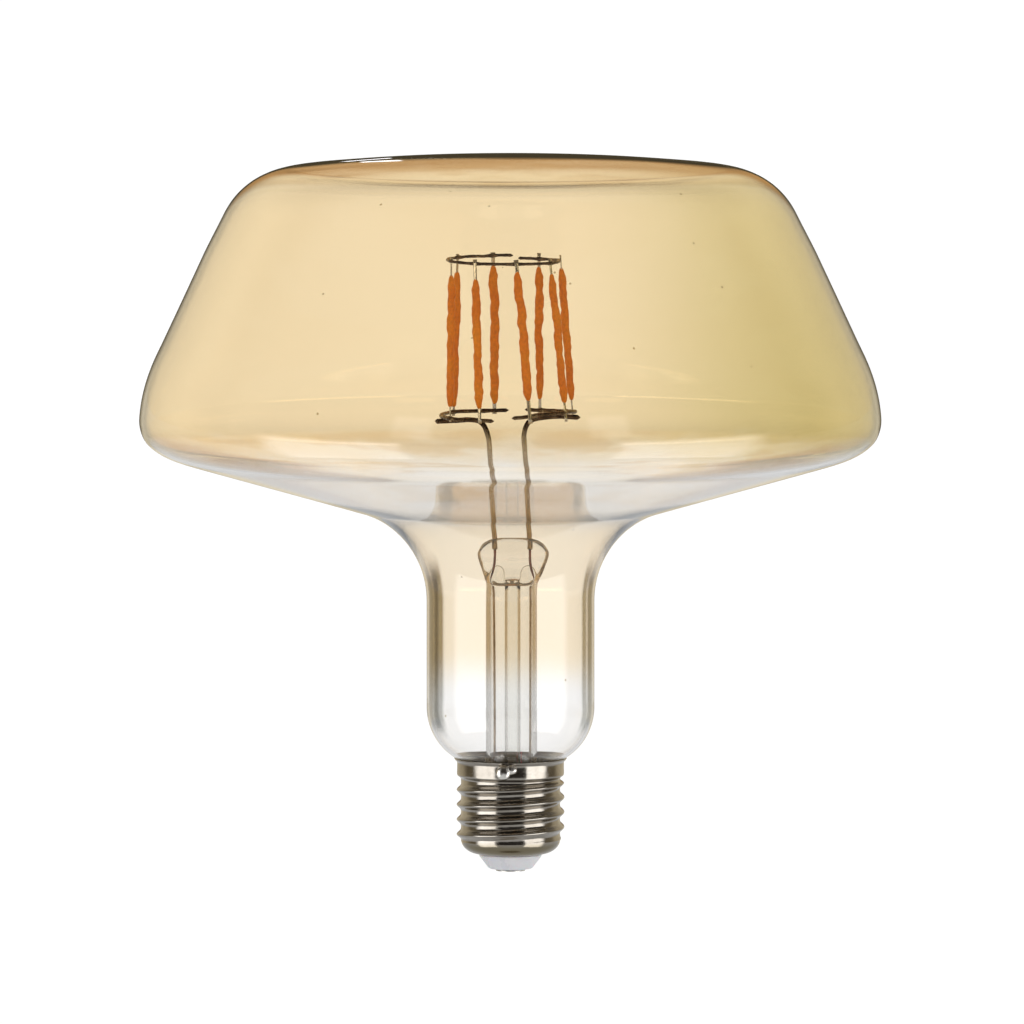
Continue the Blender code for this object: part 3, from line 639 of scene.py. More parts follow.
CROWN_RADIUS = 780.0
SHOULDER_RADIUS = 19.5
SIDE_SLOPE = math.radians(25)
RIM_BLEND_RADIUS = 45.0
RIM_BLEND_END = math.radians(4)
RIM_RADIUS = 9.2
RIM_HEIGHT = 110.2
UNDERSIDE_SLOPE = math.radians(16.1)
NECK_FILLET = 22.6
NECK_RADIUS = 20.4
NECK_BASE_RADIUS = 14.6
NECK_BASE_HEIGHT = 40.1
SEAL_FILLET = 2.5
SEAL_RADIUS = 10.9
GLASS_WALL = 0.9
CROWN_WALL = 0.78
NECK_WALL = 1.4
GLASS_SEGMENTS = 192
GLASS_SPACING = 0.8
GLASS_WAVE = 0.25
DRUM_NARROW = 0.4
NARROW_HEIGHTS = ((112, 130), (150, 162))
CROWN_LIFT = 0.6
LIFT_HEIGHTS = (145, 170)
LIFT_RADII = (30, 62)


def glass_outline():
    """The outer side from the middle of the crown to the seal: touching arcs, as in the CAD."""
    top, widest, end = GLASS_HIGH[2], GLASS_HIGH[0], GLASS_LOW[2]
    rim = Vector((widest - RIM_RADIUS, RIM_HEIGHT))
    blend_normal = Vector((math.cos(RIM_BLEND_END), math.sin(RIM_BLEND_END)))
    blend = rim - (RIM_BLEND_RADIUS - RIM_RADIUS) * blend_normal
    side_normal = Vector((math.cos(SIDE_SLOPE), math.sin(SIDE_SLOPE)))
    side_up = Vector((-math.sin(SIDE_SLOPE), math.cos(SIDE_SLOPE)))
    crown = Vector((0, top - CROWN_RADIUS))
    track = blend + (RIM_BLEND_RADIUS - SHOULDER_RADIUS) * side_normal - crown
    uphill = track.dot(side_up)
    inside_crown = (CROWN_RADIUS - SHOULDER_RADIUS) ** 2 - track.length_squared
    along = math.sqrt(uphill**2 + inside_crown) - uphill
    shoulder = crown + track + along * side_up
    crown_edge = math.atan2(shoulder.y - crown.y, shoulder.x)
    under = Vector((math.sin(UNDERSIDE_SLOPE), -math.cos(UNDERSIDE_SLOPE)))
    fillet_x = NECK_RADIUS + NECK_FILLET
    reach = NECK_FILLET + RIM_RADIUS - (fillet_x - rim.x) * under.x
    fillet = Vector((fillet_x, RIM_HEIGHT + reach / under.y))
    base = Vector((NECK_RADIUS - NECK_BASE_RADIUS, NECK_BASE_HEIGHT))
    seal_x = SEAL_RADIUS + SEAL_FILLET
    reach = NECK_BASE_RADIUS + SEAL_FILLET
    seal = Vector((seal_x, base.y - math.sqrt(reach**2 - (seal_x - base.x) ** 2)))
    seal_angle = math.atan2(seal.y - base.y, seal.x - base.x)
    return [
        *arc(crown, CROWN_RADIUS, QUARTER, crown_edge, 60),
        *arc(shoulder, SHOULDER_RADIUS, crown_edge, SIDE_SLOPE, 40)[1:],
        *arc(blend, RIM_BLEND_RADIUS, SIDE_SLOPE, RIM_BLEND_END, 16),
        *arc(rim, RIM_RADIUS, RIM_BLEND_END, UNDERSIDE_SLOPE - QUARTER, 40)[1:],
        *arc(fillet, NECK_FILLET, QUARTER + UNDERSIDE_SLOPE, math.pi, 40),
        *arc(base, NECK_BASE_RADIUS, 0, seal_angle, 24),
        *arc(seal, SEAL_FILLET, seal_angle + math.pi, math.pi, 8)[1:],
        Vector((SEAL_RADIUS, end)),
    ]


def eased(points, passes):
    """The outline with the bend between the rim and the underside spread out."""
    for _ in range(passes):
        middles = [(a + c) / 2 for a, c in zip(points, points[2:])]
        moved = [points[0]]
        for point, middle in zip(points[1:-1], middles):
            near = smooth_step(point.y, 97.0, 99.5) * (1 - smooth_step(point.y, 102.5, 105.5))
            moved.append(point.lerp(middle, near / 2))
        points = [*moved, points[-1]]
    return points


def blown(point):
    """The slight long waves of blown glass over the drum.

    It is a little narrower above the rim, and a little higher in the middle of the crown, than the CAD.
    """
    radius = math.hypot(point.x, point.y)
    narrow = DRUM_NARROW * sum(smooth_step(point.z, *heights) for heights in NARROW_HEIGHTS)
    wave = (GLASS_WAVE * bumpy(1, 0.022, point) - narrow) * smooth_step(radius, 24, 60)
    scale = 1 + wave / max(radius, 1)
    lift = CROWN_LIFT * smooth_step(point.z, *LIFT_HEIGHTS) * (1 - smooth_step(radius, *LIFT_RADII))
    return Vector((point.x * scale, point.y * scale, point.z + lift))


def glass_wall(point):
    """The wall is thinnest in the middle of the crown, and thickest along the neck."""
    crown = (1 - smooth_step(point.x, 0, 60)) * smooth_step(point.y, 140, 165)
    neck = smooth_step(point.y, 26, 44) * (1 - smooth_step(point.y, 74, 92))
    return GLASS_WALL + (CROWN_WALL - GLASS_WALL) * crown + (NECK_WALL - GLASS_WALL) * neck


def make_glass(kit):
    outer = eased(evened(glass_outline(), GLASS_SPACING), 24)
    outer[0].x = 0
    inner = inset(outer, glass_wall)
    inner = [Vector((max(point.x, 0), point.y)) for point in inner]
    inner[0].x = 0

    def shift(point, row):
        moved = blown(point)
        if row >= len(outer):
            # The inside of the crown has faint streaks.
            streak = 0.02 * bumpy(5, 0.06, (point.x * 0.6, point.y, 0))
            moved.z += streak * smooth_step(point.z, 150, 168)
        return moved

    mesh = lathe("glass_envelope_blown", [*outer, *reversed(inner)], GLASS_SEGMENTS, False, shift)
    new_piece("glass_envelope_blown", mesh, kit, "glass_envelope")


# ---- Stem ----

STEM_RADIUS = 6.2
STEM_WALL = 1.0
STEM_SHIFT = 0.25
STEM_HOLLOW_ROW = 110
PRESS_START = 67.0
PRESS_WIDEST = 78.3
PRESS_SHIFT = 0.6
PRESS_FLATNESS = 0.36
LOBE_START = 70.3
FLARE_HEIGHT = 11.5
FLARE_REACH = 3.5


def pressed(point, row):
    """Flattens the stem's top from front to back, leans it a little, and parts the hollow into lobes."""
    share = smooth_step(point.z, PRESS_START, PRESS_WIDEST - 2)
    lean = STEM_SHIFT + (PRESS_SHIFT - STEM_SHIFT) * share
    lumps = 1 + 0.03 * share * bumpy(11, 0.35, point)
    flat = 1 - share * (1 - PRESS_FLATNESS)
    radius = math.hypot(point.x, point.y)
    drop = 0.0
    if row >= STEM_HOLLOW_ROW and radius > 0.5:
        drop = max(point.z - LOBE_START, 0) * smooth_step(abs(point.y) / radius, 0.1, 0.8)
    return Vector((point.x * lumps + lean, point.y * flat * lumps, point.z - drop))


def make_stem(kit):
    """The flared tube, whose hollow ends in two rounded lobes beside the exhaust tube."""
    top = PRESS_TOP
    crest = vectors(
        (0, top), (3.0, top + 0.05), (4.6, top - 0.15), (6.2, top - 0.75), (7.6, top - 1.9),
        (8.45, top - 3.4), (8.55, top - 4.6), (8.1, top - 6.4), (7.3, top - 8.6), (6.6, top - 10.4),
        (STEM_RADIUS, top - 12.4), (STEM_RADIUS, top - 20),
    )
    lobe = vectors(
        (STEM_RADIUS - STEM_WALL, 66), (5.15, 69.5), (5.3, 71.5), (5.25, 73.2), (4.6, 74.5), (3.6, 75.0),
        (2.6, 74.6), (1.95, 73.5), (1.75, 72.2), (1.6, 71.3), (1.0, 70.9), (0, 70.8),
    )
    flare = []
    for i in range(21):
        share = i / 20
        flare.append(Vector((STEM_RADIUS + FLARE_REACH * share**2.2, STEM_END + FLARE_HEIGHT * (1 - share))))
    inside = [Vector((p.x - STEM_WALL, p.y)) for p in reversed(flare)]
    profile = [*smooth_path(crest, 6), *flare, *inside, *smooth_path(lobe, 5)]
    profile[0].x = profile[-1].x = 0
    mesh = lathe("stem_pressed", profile, 96, False, pressed)
    new_piece("stem_pressed", mesh, kit, "stem_glass")


EXHAUST_RADIUS = 1.9
EXHAUST_BORE = 1.35
EXHAUST_TOP = 70.5
EXHAUST_SHIFT = 0.5
EXHAUST_ROWS = 24


def melted_end(radius, low, middle, depth):
    """A quarter of an ellipse from the tube's side to its middle, where it is closed at height low."""
    turns = [QUARTER * i / 8 for i in range(9)]
    end = [Vector((radius * math.cos(turn), middle - depth * math.sin(turn))) for turn in turns]
    end[-1] = Vector((0, low))
    return end


def make_exhaust(kit):
    """The thin tube down the middle of the stem, melted shut at its lower end."""
    low = to_mm(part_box("exhaust_tube")[0])[2]
    tip = EXHAUST_RADIUS * 1.4
    length = EXHAUST_TOP - low - tip
    heights = [EXHAUST_TOP - 0.2 - length * i / EXHAUST_ROWS for i in range(EXHAUST_ROWS + 1)]
    profile = [
        *reversed(melted_end(EXHAUST_BORE, low + 0.3 * tip, low + tip, 0.7 * tip)),
        *[Vector((EXHAUST_BORE, z)) for z in reversed(heights)],
        Vector((EXHAUST_BORE + 0.2, EXHAUST_TOP)),
        Vector((EXHAUST_RADIUS - 0.15, EXHAUST_TOP)),
        *[Vector((EXHAUST_RADIUS, z)) for z in heights],
        *melted_end(EXHAUST_RADIUS, low, low + tip, tip),
    ]

    def shift(point, row):
        return point + Vector((EXHAUST_SHIFT, 0, 0))

    mesh = lathe("exhaust_tube_drawn", profile, 48, False, shift)
    new_piece("exhaust_tube_drawn", mesh, kit, "exhaust_tube")


# ---- Wires ----

SUPPORT_RADIUS = 0.62
LEAD_RADIUS = 0.3
ARC_WIRE_RADIUS = 0.47
RING_WIRE_RADIUS = 0.37


def make_wire(name, points, radius, kit, node, seed, rough=0.06, spans=8, spots=()):
    """A bent wire of uneven thickness. spots are (share, extra) swellings, such as weld marks."""
    path = smooth_path(points, spans)
    length = lengths_along(path)[-1]

    def reach(share, angle):
        here = Vector((share * length * 0.7, math.cos(angle), math.sin(angle)))
        lump = 1 + rough * bumpy(seed, 1.0, here)
        for place, extra in spots:
            lump += extra * math.exp(-(((share - place) * length / 0.9) ** 2))
        return radius * lump * rounded_end(share, length, radius * 0.7)

    new_piece(name, sweep(name, path, reach), kit, node)


def make_leads(kit):
    """Supports, sealing wires through the press, and the wires down the stem."""
    arm = ARM_HEIGHT - SUPPORT_RADIUS - 0.03
    supports = {
        "left": (
            (-3.6, 0, 78.7), (-3.75, 0, 81), (-4.0, 0, 84), (-4.7, 0.05, 95), (-5.1, 0, 103),
            (-5.5, 0, 106.4), (-6.9, 0, 109.3), (-9.4, 0, arm + 0.1), (-14, 0.1, arm - 0.1),
            (-18.4, 0.1, arm - 0.3),
        ),
        "right": (
            (4.55, 0, 78.7), (4.6, 0, 81), (4.5, 0, 84), (3.9, 0.05, 95), (3.45, 0, 103),
            (3.3, 0, 106.6), (4.3, 0, 109.5), (6.6, 0, arm + 0.45), (11.5, 0.1, arm + 0.9),
            (17.0, 0.1, arm + 0.65),
        ),
    }
    seals = {
        "left": ((-3.6, 0, 79.2), (-3.7, 0, 76), (-4.1, 0, 72.6), (-4.5, 0, 70.2)),
        "right": ((4.55, 0, 79.2), (4.6, 0, 76), (4.9, 0, 72.6), (5.1, 0, 70.2)),
    }
    downs = {
        "left": (
            (-4.5, 0, 70.0), (-4.1, 0, 66), (-3.95, 0.1, 50), (-3.9, 0, 30), (-4.3, 0, 22),
            (-5.8, 0.4, 19.4), (-7.6, 1.85, 16.6), (-7.6, 1.85, 14.8),
        ),
        "right": (
            (5.1, 0, 70.0), (4.95, 0, 66), (4.9, 0.1, 50), (4.85, 0, 30), (4.7, 0, 22),
            (5.8, 0.4, 19.4), (7.6, 1.85, 16.6), (7.6, 1.85, 14.8),
        ),
    }
    for seed, side in enumerate(("left", "right"), 20):
        make_wire(f"support_{side}", supports[side], SUPPORT_RADIUS, kit, f"support_lead_{side}", seed, 0.1)
        make_wire(f"seal_{side}", seals[side], LEAD_RADIUS, kit, f"sealing_wire_{side}", seed + 5)
        make_wire(f"stem_lead_{side}", downs[side], LEAD_RADIUS, kit, f"stem_wire_{side}", seed + 9)


ARC_RADIUS, ARC_CENTRE = 16.3, -0.7
RING_RADIUS, RING_CENTRE = 13.7, -1.7


def on_circle(degrees, radius, centre, height):
    angle = math.radians(degrees)
    return Vector((centre + radius * math.cos(angle), radius * math.sin(angle), height))


def make_arcs(kit):
    """The open lower arcs, bent by hand and so never quite round or level."""
    welds = [(0.13, 0.3), (0.33, 0.35), (0.72, 0.35), (0.9, 0.25)]
    steps = 12
    for name, start, end, lift, seed in (("left", 89, 258.4, 0.1, 31), ("right", -86.5, 75, 0.45, 32)):
        points = []
        for i in range(steps + 1):
            share = i / steps
            degrees = start + (end - start) * share
            kink = 0.3 * bumpy(seed, 0.9, (i, 0, 0))
            level = ARC_HEIGHT + lift - 0.2 * (share - 0.5)
            level += 0.22 * bumpy(seed + 3, 0.8, (i, 2, 0))
            if name == "right":
                level += 0.9 * smooth_step(share, 0.0, 0.2) * (1 - smooth_step(share, 0.4, 0.8))
            points.append(on_circle(degrees, ARC_RADIUS + kink, ARC_CENTRE, level))
        make_wire(f"arc_{name}", points, ARC_WIRE_RADIUS, kit, f"lower_arc_{name}", seed, 0.16, 6, welds)


def make_ring(kit):
    """The open upper ring, whose ends nearly meet, one lower than the other."""
    welds = [(share, 0.45) for share in (0.06, 0.18, 0.34, 0.45, 0.57, 0.69, 0.82, 0.93)]
    points = []
    steps = 30
    for i in range(steps + 1):
        share = i / steps
        degrees = 80 + 355 * share
        kink = 0.28 * bumpy(41, 0.8, (i, 0, 0))
        level = RING_HEIGHT - 0.05 - 0.6 * share + 0.16 * bumpy(42, 0.7, (i, 1, 0))
        points.append(on_circle(degrees, RING_RADIUS + kink, RING_CENTRE, level))
    make_wire("ring_upper", points, RING_WIRE_RADIUS, kit, "upper_ring", 43, 0.24, 5, welds)


# ---- Filaments ----

# Each filament's angle on the ring above and on the arc below, in degrees. Then, in mm, how far the upper
# and the lower end of its phosphor are lifted, and how far its own upper and lower end lean to the right.
FILAMENTS = (
    (201, 212, -1.0, 0.2, 0.6, 0.45),
    (145, 144, -1.2, -1.1, 0.45, 0.5),
    (241, 245, -1.5, 0.3, 0.0, 0.4),
    (102, 102, 0.0, -0.8, 0.4, 0.3),
    (282, 288, 0.4, 2.2, 0.15, 0.25),
    (53, 62, -0.1, 0.4, 0.1, -0.1),
    (326, 328, -0.5, 1.2, -0.45, -0.2),
    (16, 18, 0.1, 0.9, 0.2, -0.2),
)
COAT_RADIUS = 1.03
COAT_HALF = 16.6
COAT_FLATNESS = 0.86
COAT_POINT = 2.6
STRIP_RADIUS = 0.46
STRIP_FLATNESS = 0.35
STRIP_OVERHANG = 0.7


def make_filaments(kit):
    """Eight filaments, numbered from 1 as in the CAD."""
    for number, (above, below, lift_top, lift_foot, lean_top, lean_foot) in enumerate(FILAMENTS, 1):
        top = on_circle(above, RING_RADIUS + 0.5, RING_CENTRE + lean_top, RING_HEIGHT)
        foot = on_circle(below, ARC_RADIUS + 0.6, ARC_CENTRE + lean_foot, ARC_HEIGHT)
        upright = (top - foot).normalized()
        middle = (top + foot) / 2
        angle = math.radians(above)
        outward = Vector((math.cos(angle), math.sin(angle), 0))
        sideways = upright.cross(outward).normalized()
        overhang = upright * STRIP_OVERHANG
        make_strip(number, foot - overhang, top + overhang, outward, sideways, kit)
        start = middle - upright * (COAT_HALF - lift_foot)
        end = middle + upright * (COAT_HALF + lift_top)
        make_coat(number, start, end, outward, sideways, kit)


def crooked_path(number, start, end, outward, sideways, steps):
    """A line that wanders a little from the straight one, in the same way for a strip and its phosphor."""
    path = []
    for i in range(steps + 1):
        share = i / steps
        fade = math.sin(math.pi * share)
        side = 0.45 * bumpy(50 + number, 3.2, (share, 0, 0)) * fade
        side += 0.34 * bumpy(55 + number, 10.0, (share, 0, 0)) * fade
        out = 0.25 * bumpy(60 + number, 2.6, (share, 1, 0)) * fade
        path.append(start.lerp(end, share) + sideways * side + outward * out)
    return path


def make_strip(number, start, end, outward, sideways, kit):
    """The flat metal strip that runs through the phosphor and is welded at both ends."""
    path = crooked_path(number, start, end, outward, sideways, 40)

    def reach(share, angle):
        weld = math.exp(-((min(share, 1 - share) / 0.02) ** 2))
        return STRIP_RADIUS * (1 + 0.3 * weld + 0.15 * bumpy(number, 1, (share * 30, angle, 0)))

    mesh = sweep(f"strip_{number}", path, reach, 12, STRIP_FLATNESS, outward)
    new_piece(f"strip_{number}", mesh, kit, f"filament_{number}_strip")


def make_coat(number, start, end, outward, sideways, kit):
    """The phosphor: an uneven, dribbled rod with pinched and swollen stretches and pointed ends."""
    length = (end - start).length
    path = crooked_path(number, start, end, outward, sideways, 110)

    def reach(share, angle):
        around = (math.cos(angle) * 0.6, math.sin(angle) * 0.6, share * length * 0.3)
        body = 1 + 0.26 * bumpy(70 + number, 1.0, around) + 0.26 * bumpy(80 + number, 2.1, around)
        edge = min(share, 1 - share) * length
        taper = 0.32 + 0.68 * (edge / COAT_POINT) ** 0.7 if edge < COAT_POINT else 1.0
        tip = math.sqrt(min(edge / 0.35, 1.0))
        return COAT_RADIUS * body * taper * max(tip, 0.12)

    mesh = sweep(f"phosphor_{number}", path, reach, 28, COAT_FLATNESS, outward)
    new_piece(f"phosphor_{number}", mesh, kit, f"filament_{number}_phosphor")


# ---- Screw cap ----

THREAD_PITCH = 25.4 / 7
THREAD_CREST = 13.12
THREAD_ROOT = 12.05
THREAD_PHASE = 18.09
THREAD_TOP = 22.6
THREAD_BOTTOM = 7.4
THREAD_ROWS = 110
SKIRT_RADIUS = 13.0
END_RADIUS = 7.8
END_HEIGHT = 4.3
SHELL_WALL = 0.3
CAP_SEGMENTS = 192


def rolled(point, row):
    """Pushes the shell out along a right-handed helix, and dents it a little as rolling does."""
    fade = smooth_step(point.z, THREAD_BOTTOM - 0.1, THREAD_BOTTOM + 1.3)
    fade *= 1 - smooth_step(point.z, THREAD_TOP - 1.2, THREAD_TOP)
    turn = math.atan2(point.y, point.x)
    phase = 2 * math.pi * (point.z - THREAD_PHASE) / THREAD_PITCH - turn
    crest = ((1 + math.cos(phase)) / 2) ** 1.7
    radius = math.hypot(point.x, point.y)
    dent = 0.03 * bumpy(91, 0.25, point) + 0.015 * bumpy(92, 0.9, point)
    push = 1 + ((THREAD_CREST - THREAD_ROOT) * crest * fade + dent) / radius
    return Vector((point.x * push, point.y * push, point.z))


def shell_outline():
    """The lip, the skirt, the threaded wall and the rounded end that holds the insulator."""
    drop = THREAD_TOP - THREAD_BOTTOM
    wall = [Vector((THREAD_ROOT, THREAD_TOP - drop * i / THREAD_ROWS)) for i in range(THREAD_ROWS + 1)]
    end = []
    for i in range(1, 25):
        angle = QUARTER * i / 24
        across = 0.9 * (1 - math.cos(angle)) + 0.1 * math.sin(angle)
        radius = THREAD_ROOT - (THREAD_ROOT - END_RADIUS) * across
        end.append(Vector((radius, THREAD_BOTTOM - (THREAD_BOTTOM - END_HEIGHT) * math.sin(angle))))
    lip = vectors(
        (SKIRT_RADIUS + 0.68, LIP_HEIGHT), (SKIRT_RADIUS + 0.5, LIP_HEIGHT - 0.35),
        (SKIRT_RADIUS + 0.12, LIP_HEIGHT - 0.75), (SKIRT_RADIUS, LIP_HEIGHT - 1.2),
        (SKIRT_RADIUS, LIP_HEIGHT - 2.4), (SKIRT_RADIUS + 0.03, LIP_HEIGHT - 3.6),
        (SKIRT_RADIUS - 0.1, LIP_HEIGHT - 4.15), (THREAD_ROOT + 0.28, LIP_HEIGHT - 4.55),
    )
    return [*smooth_path(lip, 6), *wall, *end]


def make_shell(kit):
    outer = shell_outline()
    inner = inset(outer, lambda point: SHELL_WALL)
    inner[0] = Vector((outer[0].x - SHELL_WALL, outer[0].y))
    mesh = lathe("cap_shell_rolled", [*outer, *reversed(inner)], CAP_SEGMENTS, True, rolled)
    new_piece("cap_shell_rolled", mesh, kit, "cap_shell")


INSULATOR_HOLE = 1.0
INSULATOR_FACE = 0.56
CONE_TOP = (7.45, 3.5)
CONE_RUN, CONE_DROP = 1.75, 2.3


def make_insulator(kit):
    """Moulded plastic that fills the shell's end, with a groove for its edge and a cone below it."""
    profile = vectors(
        (INSULATOR_HOLE, 7.0), (8.4, 7.0), (9.0, 6.8), (9.3, 6.3), (9.2, 5.7), (8.2, 5.05), (7.2, 4.95),
        (7.1, 4.35), (7.6, 4.2), (7.68, 3.95), CONE_TOP,
    )
    for share in (i / 8 for i in range(1, 9)):
        profile.append(Vector((CONE_TOP[0] - CONE_RUN * share, CONE_TOP[1] - CONE_DROP * share)))
    profile += arc((4.7, 1.7), 1.1, -0.5, -QUARTER, 8)
    profile += vectors((3.8, INSULATOR_FACE), (INSULATOR_HOLE, INSULATOR_FACE))
    mesh = lathe("insulator_moulded", profile, 128, True)
    new_piece("insulator_moulded", mesh, kit, "cap_insulator")


def make_contact(kit):
    """The centre contact: a disc with a rounded rim, on a pin through the insulator."""
    profile = [
        *vectors((0, 6.5), (0.5, 6.5)),
        *arc((0.5, 6.1), 0.4, QUARTER, 0, 6),
        *vectors((0.9, 0.6), (0.9, 0.44), (3.4, 0.44)),
        *arc((3.4, 0.24), 0.2, QUARTER, -QUARTER * 0.6, 8),
        *vectors((3.0, 0.02), (2.2, 0.0), (0, 0.0)),
    ]
    mesh = lathe("contact_pressed", profile, 96, False)
    new_piece("contact_pressed", mesh, kit, "centre_contact")


CEMENT_INNER, CEMENT_OUTER = 11.05, 12.55


def make_cement(kit):
    """A lumpy ring of cement between the glass and the skirt."""
    low, high = (to_mm(corner)[2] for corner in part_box("capping_cement"))
    profile = [
        *vectors((CEMENT_INNER + 0.9, high), (CEMENT_OUTER - 0.1, high - 0.05)),
        *[Vector((CEMENT_OUTER, high - 0.3 - i * 0.2)) for i in range(10)],
        Vector((CEMENT_INNER, low + 0.1)),
        *[Vector((CEMENT_INNER, low + 0.3 + i * 0.2)) for i in range(4)],
    ]

    def lumpy(point, row):
        lump = 0.12 * bumpy(95, 0.7, point) * smooth_step(point.z, low, high)
        return point + Vector((0, 0, lump))

    mesh = lathe("cement_ring", profile, 160, True, lumpy)
    new_piece("cement_ring", mesh, kit, "capping_cement")


# The middle and the half-sizes of the drop of solder, and of the smaller one beside it.
SOLDER_DROPS = (
    ((-1.75, -13.6, 25.3), (1.75, 1.1, 1.85)),
    ((0.1, -13.6, 26.0), (1.4, 0.8, 1.25)),
)
SOLDER_GAP = 0.04


def make_solder(kit):
    """A shiny drop of solder on the skirt, with a smaller one beside it against the lip."""
    shape = bmesh.new()
    for centre, size in SOLDER_DROPS:
        drop = bmesh.ops.create_icosphere(shape, subdivisions=5, radius=1)
        for vertex in drop["verts"]:
            lump = 1 + 0.10 * bumpy(97, 1.3, vertex.co + Vector(centre))
            moved = Vector([c + s * v * lump for c, s, v in zip(centre, size, vertex.co)])
            # The back of the drop lies flat on the skirt.
            push = max((SKIRT_RADIUS + SOLDER_GAP) / math.hypot(moved.x, moved.y), 1)
            vertex.co = mm(moved.x * push, moved.y * push, moved.z)
    mesh = bpy.data.meshes.new("solder_drop")
    shape.to_mesh(mesh)
    shape.free()
    new_piece("solder_drop", mesh, kit, "side_solder")


# ---- Pieces inside the cap ----


def paint_kept_nodes(kit):
    """Every CAD node gets the finished material of its slot, which shows where nothing replaces it."""
    for name, node in frame["nodes"].items():
        node.data.materials.clear()
        node.data.materials.append(kit[SLOTS[name]])


# ---- Studio ----

VIEW_ELEVATION = math.radians(4.7)
VIEW_DISTANCE = 4.0
VIEW_CENTRE = (0.00036, 0, 0.0877)
VIEW_WIDTH = 0.24904
SENSOR_WIDTH = 36


def make_camera():
    data = bpy.data.cameras.new("camera")
    data.sensor_width = SENSOR_WIDTH
    data.lens = SENSOR_WIDTH * VIEW_DISTANCE / VIEW_WIDTH
    data.clip_start = 0.05
    data.clip_end = 100
    camera = bpy.data.objects.new("camera", data)
    away = Vector((0, -math.cos(VIEW_ELEVATION), math.sin(VIEW_ELEVATION)))
    camera.location = Vector(VIEW_CENTRE) + VIEW_DISTANCE * away
    camera.rotation_euler = (QUARTER - VIEW_ELEVATION, 0, 0)
    bpy.context.scene.collection.objects.link(camera)
    bpy.context.scene.camera = camera


# The studio as the glass and the metal mirror it. Turns run from 0 straight in front to 1 straight behind,
# heights from -1 straight down to 1 straight up, and LAMP_ACROSS is the X of the thin lamps' direction.
DARK = (0.05, 0.045, 0.04)
SIDE = (0.26, 0.22, 0.15)
SIDE_TURNS = (0.44, 0.52)
BOX_TURNS = (0.18, 0.205, 0.42, 0.50)
BOX_HEIGHTS = (-0.62, -0.59, 0.02, 0.10)
BOX = (3.3, 3.3, 3.3)
WINDOW_TURNS = (0.13, 0.15, 0.20, 0.22)
WINDOW_HEIGHTS = (0.12, 0.16, 0.36, 0.42)
WINDOW = (0.9, 0.9, 0.9)
LAMP_ACROSS = (-0.0178, -0.0172, -0.0114, -0.0108)
LAMP_HEIGHTS = ((0.024, 0.026, 0.034, 0.036), (0.058, 0.060, 0.069, 0.071))
LAMP = (2.2, 2.2, 2.2)
BACK_TURNS = (0.58, 0.72)
BACK = (0.77, 0.68, 0.50)
WALL_TURNS = (0.90, 0.97)
WALL_HEIGHTS = (0.045, 0.085)
WALL = (0.52, 0.30, 0.12)
HAZE_HEIGHTS = (0.13, 0.27)
HAZE = (0.86, 0.70, 0.44)
HORIZON = (0.07, 0.055, 0.03)
HORIZON_HEIGHTS = (-0.13, -0.10)
FLOOR_HEIGHTS = (-0.26, -0.17)
FLOOR = (0.70, 0.71, 0.72)
BELOW_HEIGHTS = (-0.99, -0.96)
BELOW = (0.30, 0.27, 0.22)
ROOF_HEIGHTS = (0.40, 0.70)
ROOF = (0.22, 0.20, 0.17)
AMBIENT = (1.2, 1.2, 1.2)
FLOOR_SIZE = 30.0
FLOOR_DROP = 0.0002
FLOOR_GLOW = 0.65


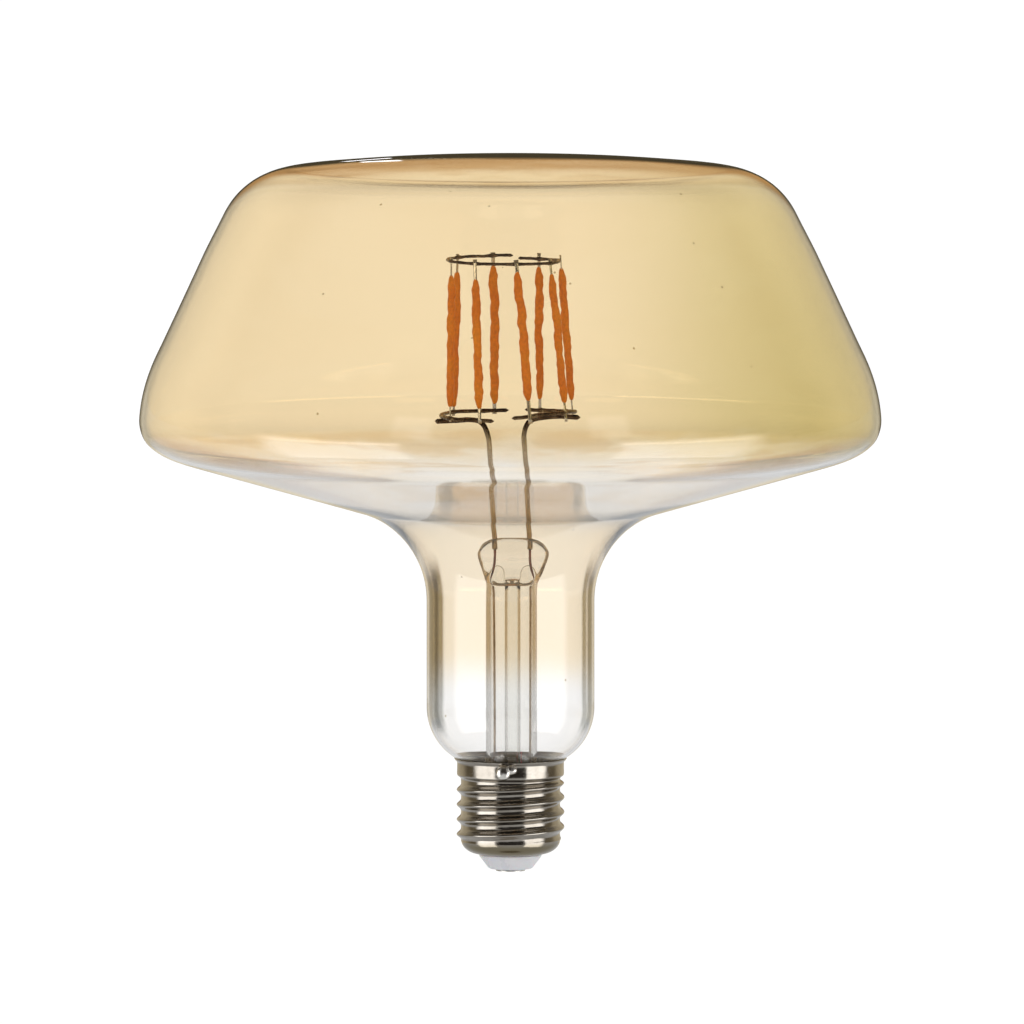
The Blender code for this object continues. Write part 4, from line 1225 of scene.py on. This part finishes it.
def make_world():
    """Seen straight, all is white. Light on dull surfaces comes evenly from all sides.

    Mirrored, there are soft boxes at the front corners with a dimmer window above each, and dark gaps between
    them. Straight behind, a dark horizon, a brown wall and an amber haze lie one above the other, with two
    thin lamps in front.
    """
    world = bpy.data.worlds.new("studio")
    bpy.context.scene.world = world
    world.use_nodes = True
    graph = Graph(world.node_tree)
    axes = graph.node("SeparateXYZ")
    graph.link(graph.node("TexCoord").outputs["Generated"], axes.inputs[0])
    height = axes.outputs["Z"]
    across = graph.maths("ABSOLUTE", axes.outputs["X"])
    front = graph.times(axes.outputs["Y"], -1.0)
    turn = graph.times(graph.maths("ARCTAN2", across, front), 1 / math.pi)

    def between(value, limits):
        """1 between the two middle limits, fading to 0 at the outer ones."""
        rise = graph.span(value, *limits[:2])
        return graph.times(rise, graph.span(value, *limits[2:], 1.0, 0.0))

    def patch(turns, heights):
        return graph.times(between(turn, turns), between(height, heights))

    behind = graph.span(turn, *WALL_TURNS)
    studio = graph.mix(graph.span(turn, *SIDE_TURNS), DARK, SIDE)
    studio = graph.mix(graph.span(turn, *BACK_TURNS), studio, BACK)
    for heights, colour in ((HORIZON_HEIGHTS, HORIZON), (WALL_HEIGHTS, WALL), (HAZE_HEIGHTS, HAZE)):
        studio = graph.mix(graph.times(behind, graph.span(height, *heights)), studio, colour)
    studio = graph.mix(graph.span(height, *ROOF_HEIGHTS), studio, ROOF)
    studio = graph.mix(graph.span(height, *FLOOR_HEIGHTS, 1.0, 0.0), studio, FLOOR)
    studio = graph.mix(patch(BOX_TURNS, BOX_HEIGHTS), studio, BOX)
    studio = graph.mix(patch(WINDOW_TURNS, WINDOW_HEIGHTS), studio, WINDOW)
    studio = graph.mix(graph.span(height, *BELOW_HEIGHTS, 1.0, 0.0), studio, BELOW)
    for heights in LAMP_HEIGHTS:
        lamp = graph.times(between(axes.outputs["X"], LAMP_ACROSS), between(height, heights))
        studio = graph.mix(graph.times(behind, lamp), studio, LAMP)
    dull = graph.maths("GREATER_THAN", graph.node("LightPath").outputs["Diffuse Depth"], 0.5)
    studio = graph.mix(dull, studio, AMBIENT)
    studio = graph.mix(graph.seen_straight(), studio, CLEAR)
    graph.link(studio, world.node_tree.nodes["Background"].inputs["Color"])


def make_floor():
    """A wide white floor that is lit from within, like a light table."""
    shape = bmesh.new()
    bmesh.ops.create_grid(shape, x_segments=1, y_segments=1, size=FLOOR_SIZE)
    mesh = bpy.data.meshes.new("floor")
    shape.to_mesh(mesh)
    shape.free()
    floor = bpy.data.objects.new("floor", mesh)
    floor.location.z = -FLOOR_DROP
    bpy.context.scene.collection.objects.link(floor)
    shader = Shader("floor_white")
    shader.set(Base_Color=(0.02, 0.02, 0.02, 1), Roughness=1.0, Emission_Color=(1, 1, 1, 1))
    glow = shader.span(shader.seen_straight(), 0, 1, FLOOR_GLOW, 1.0, smooth=False)
    shader.link(glow, shader.surface.inputs["Emission Strength"])
    mesh.materials.append(shader.material)
    floor.visible_glossy = False


def make_studio():
    make_camera()
    make_world()
    make_floor()
    scene = bpy.context.scene
    scene.view_settings.view_transform = "Standard"
    scene.cycles.max_bounces = 32
    scene.cycles.transmission_bounces = 32
    scene.cycles.glossy_bounces = 12


def main():
    kit = make_materials()
    make_glass(kit)
    make_stem(kit)
    make_exhaust(kit)
    make_leads(kit)
    make_arcs(kit)
    make_ring(kit)
    make_filaments(kit)
    make_shell(kit)
    make_insulator(kit)
    make_contact(kit)
    make_cement(kit)
    make_solder(kit)
    paint_kept_nodes(kit)
    make_studio()


main()
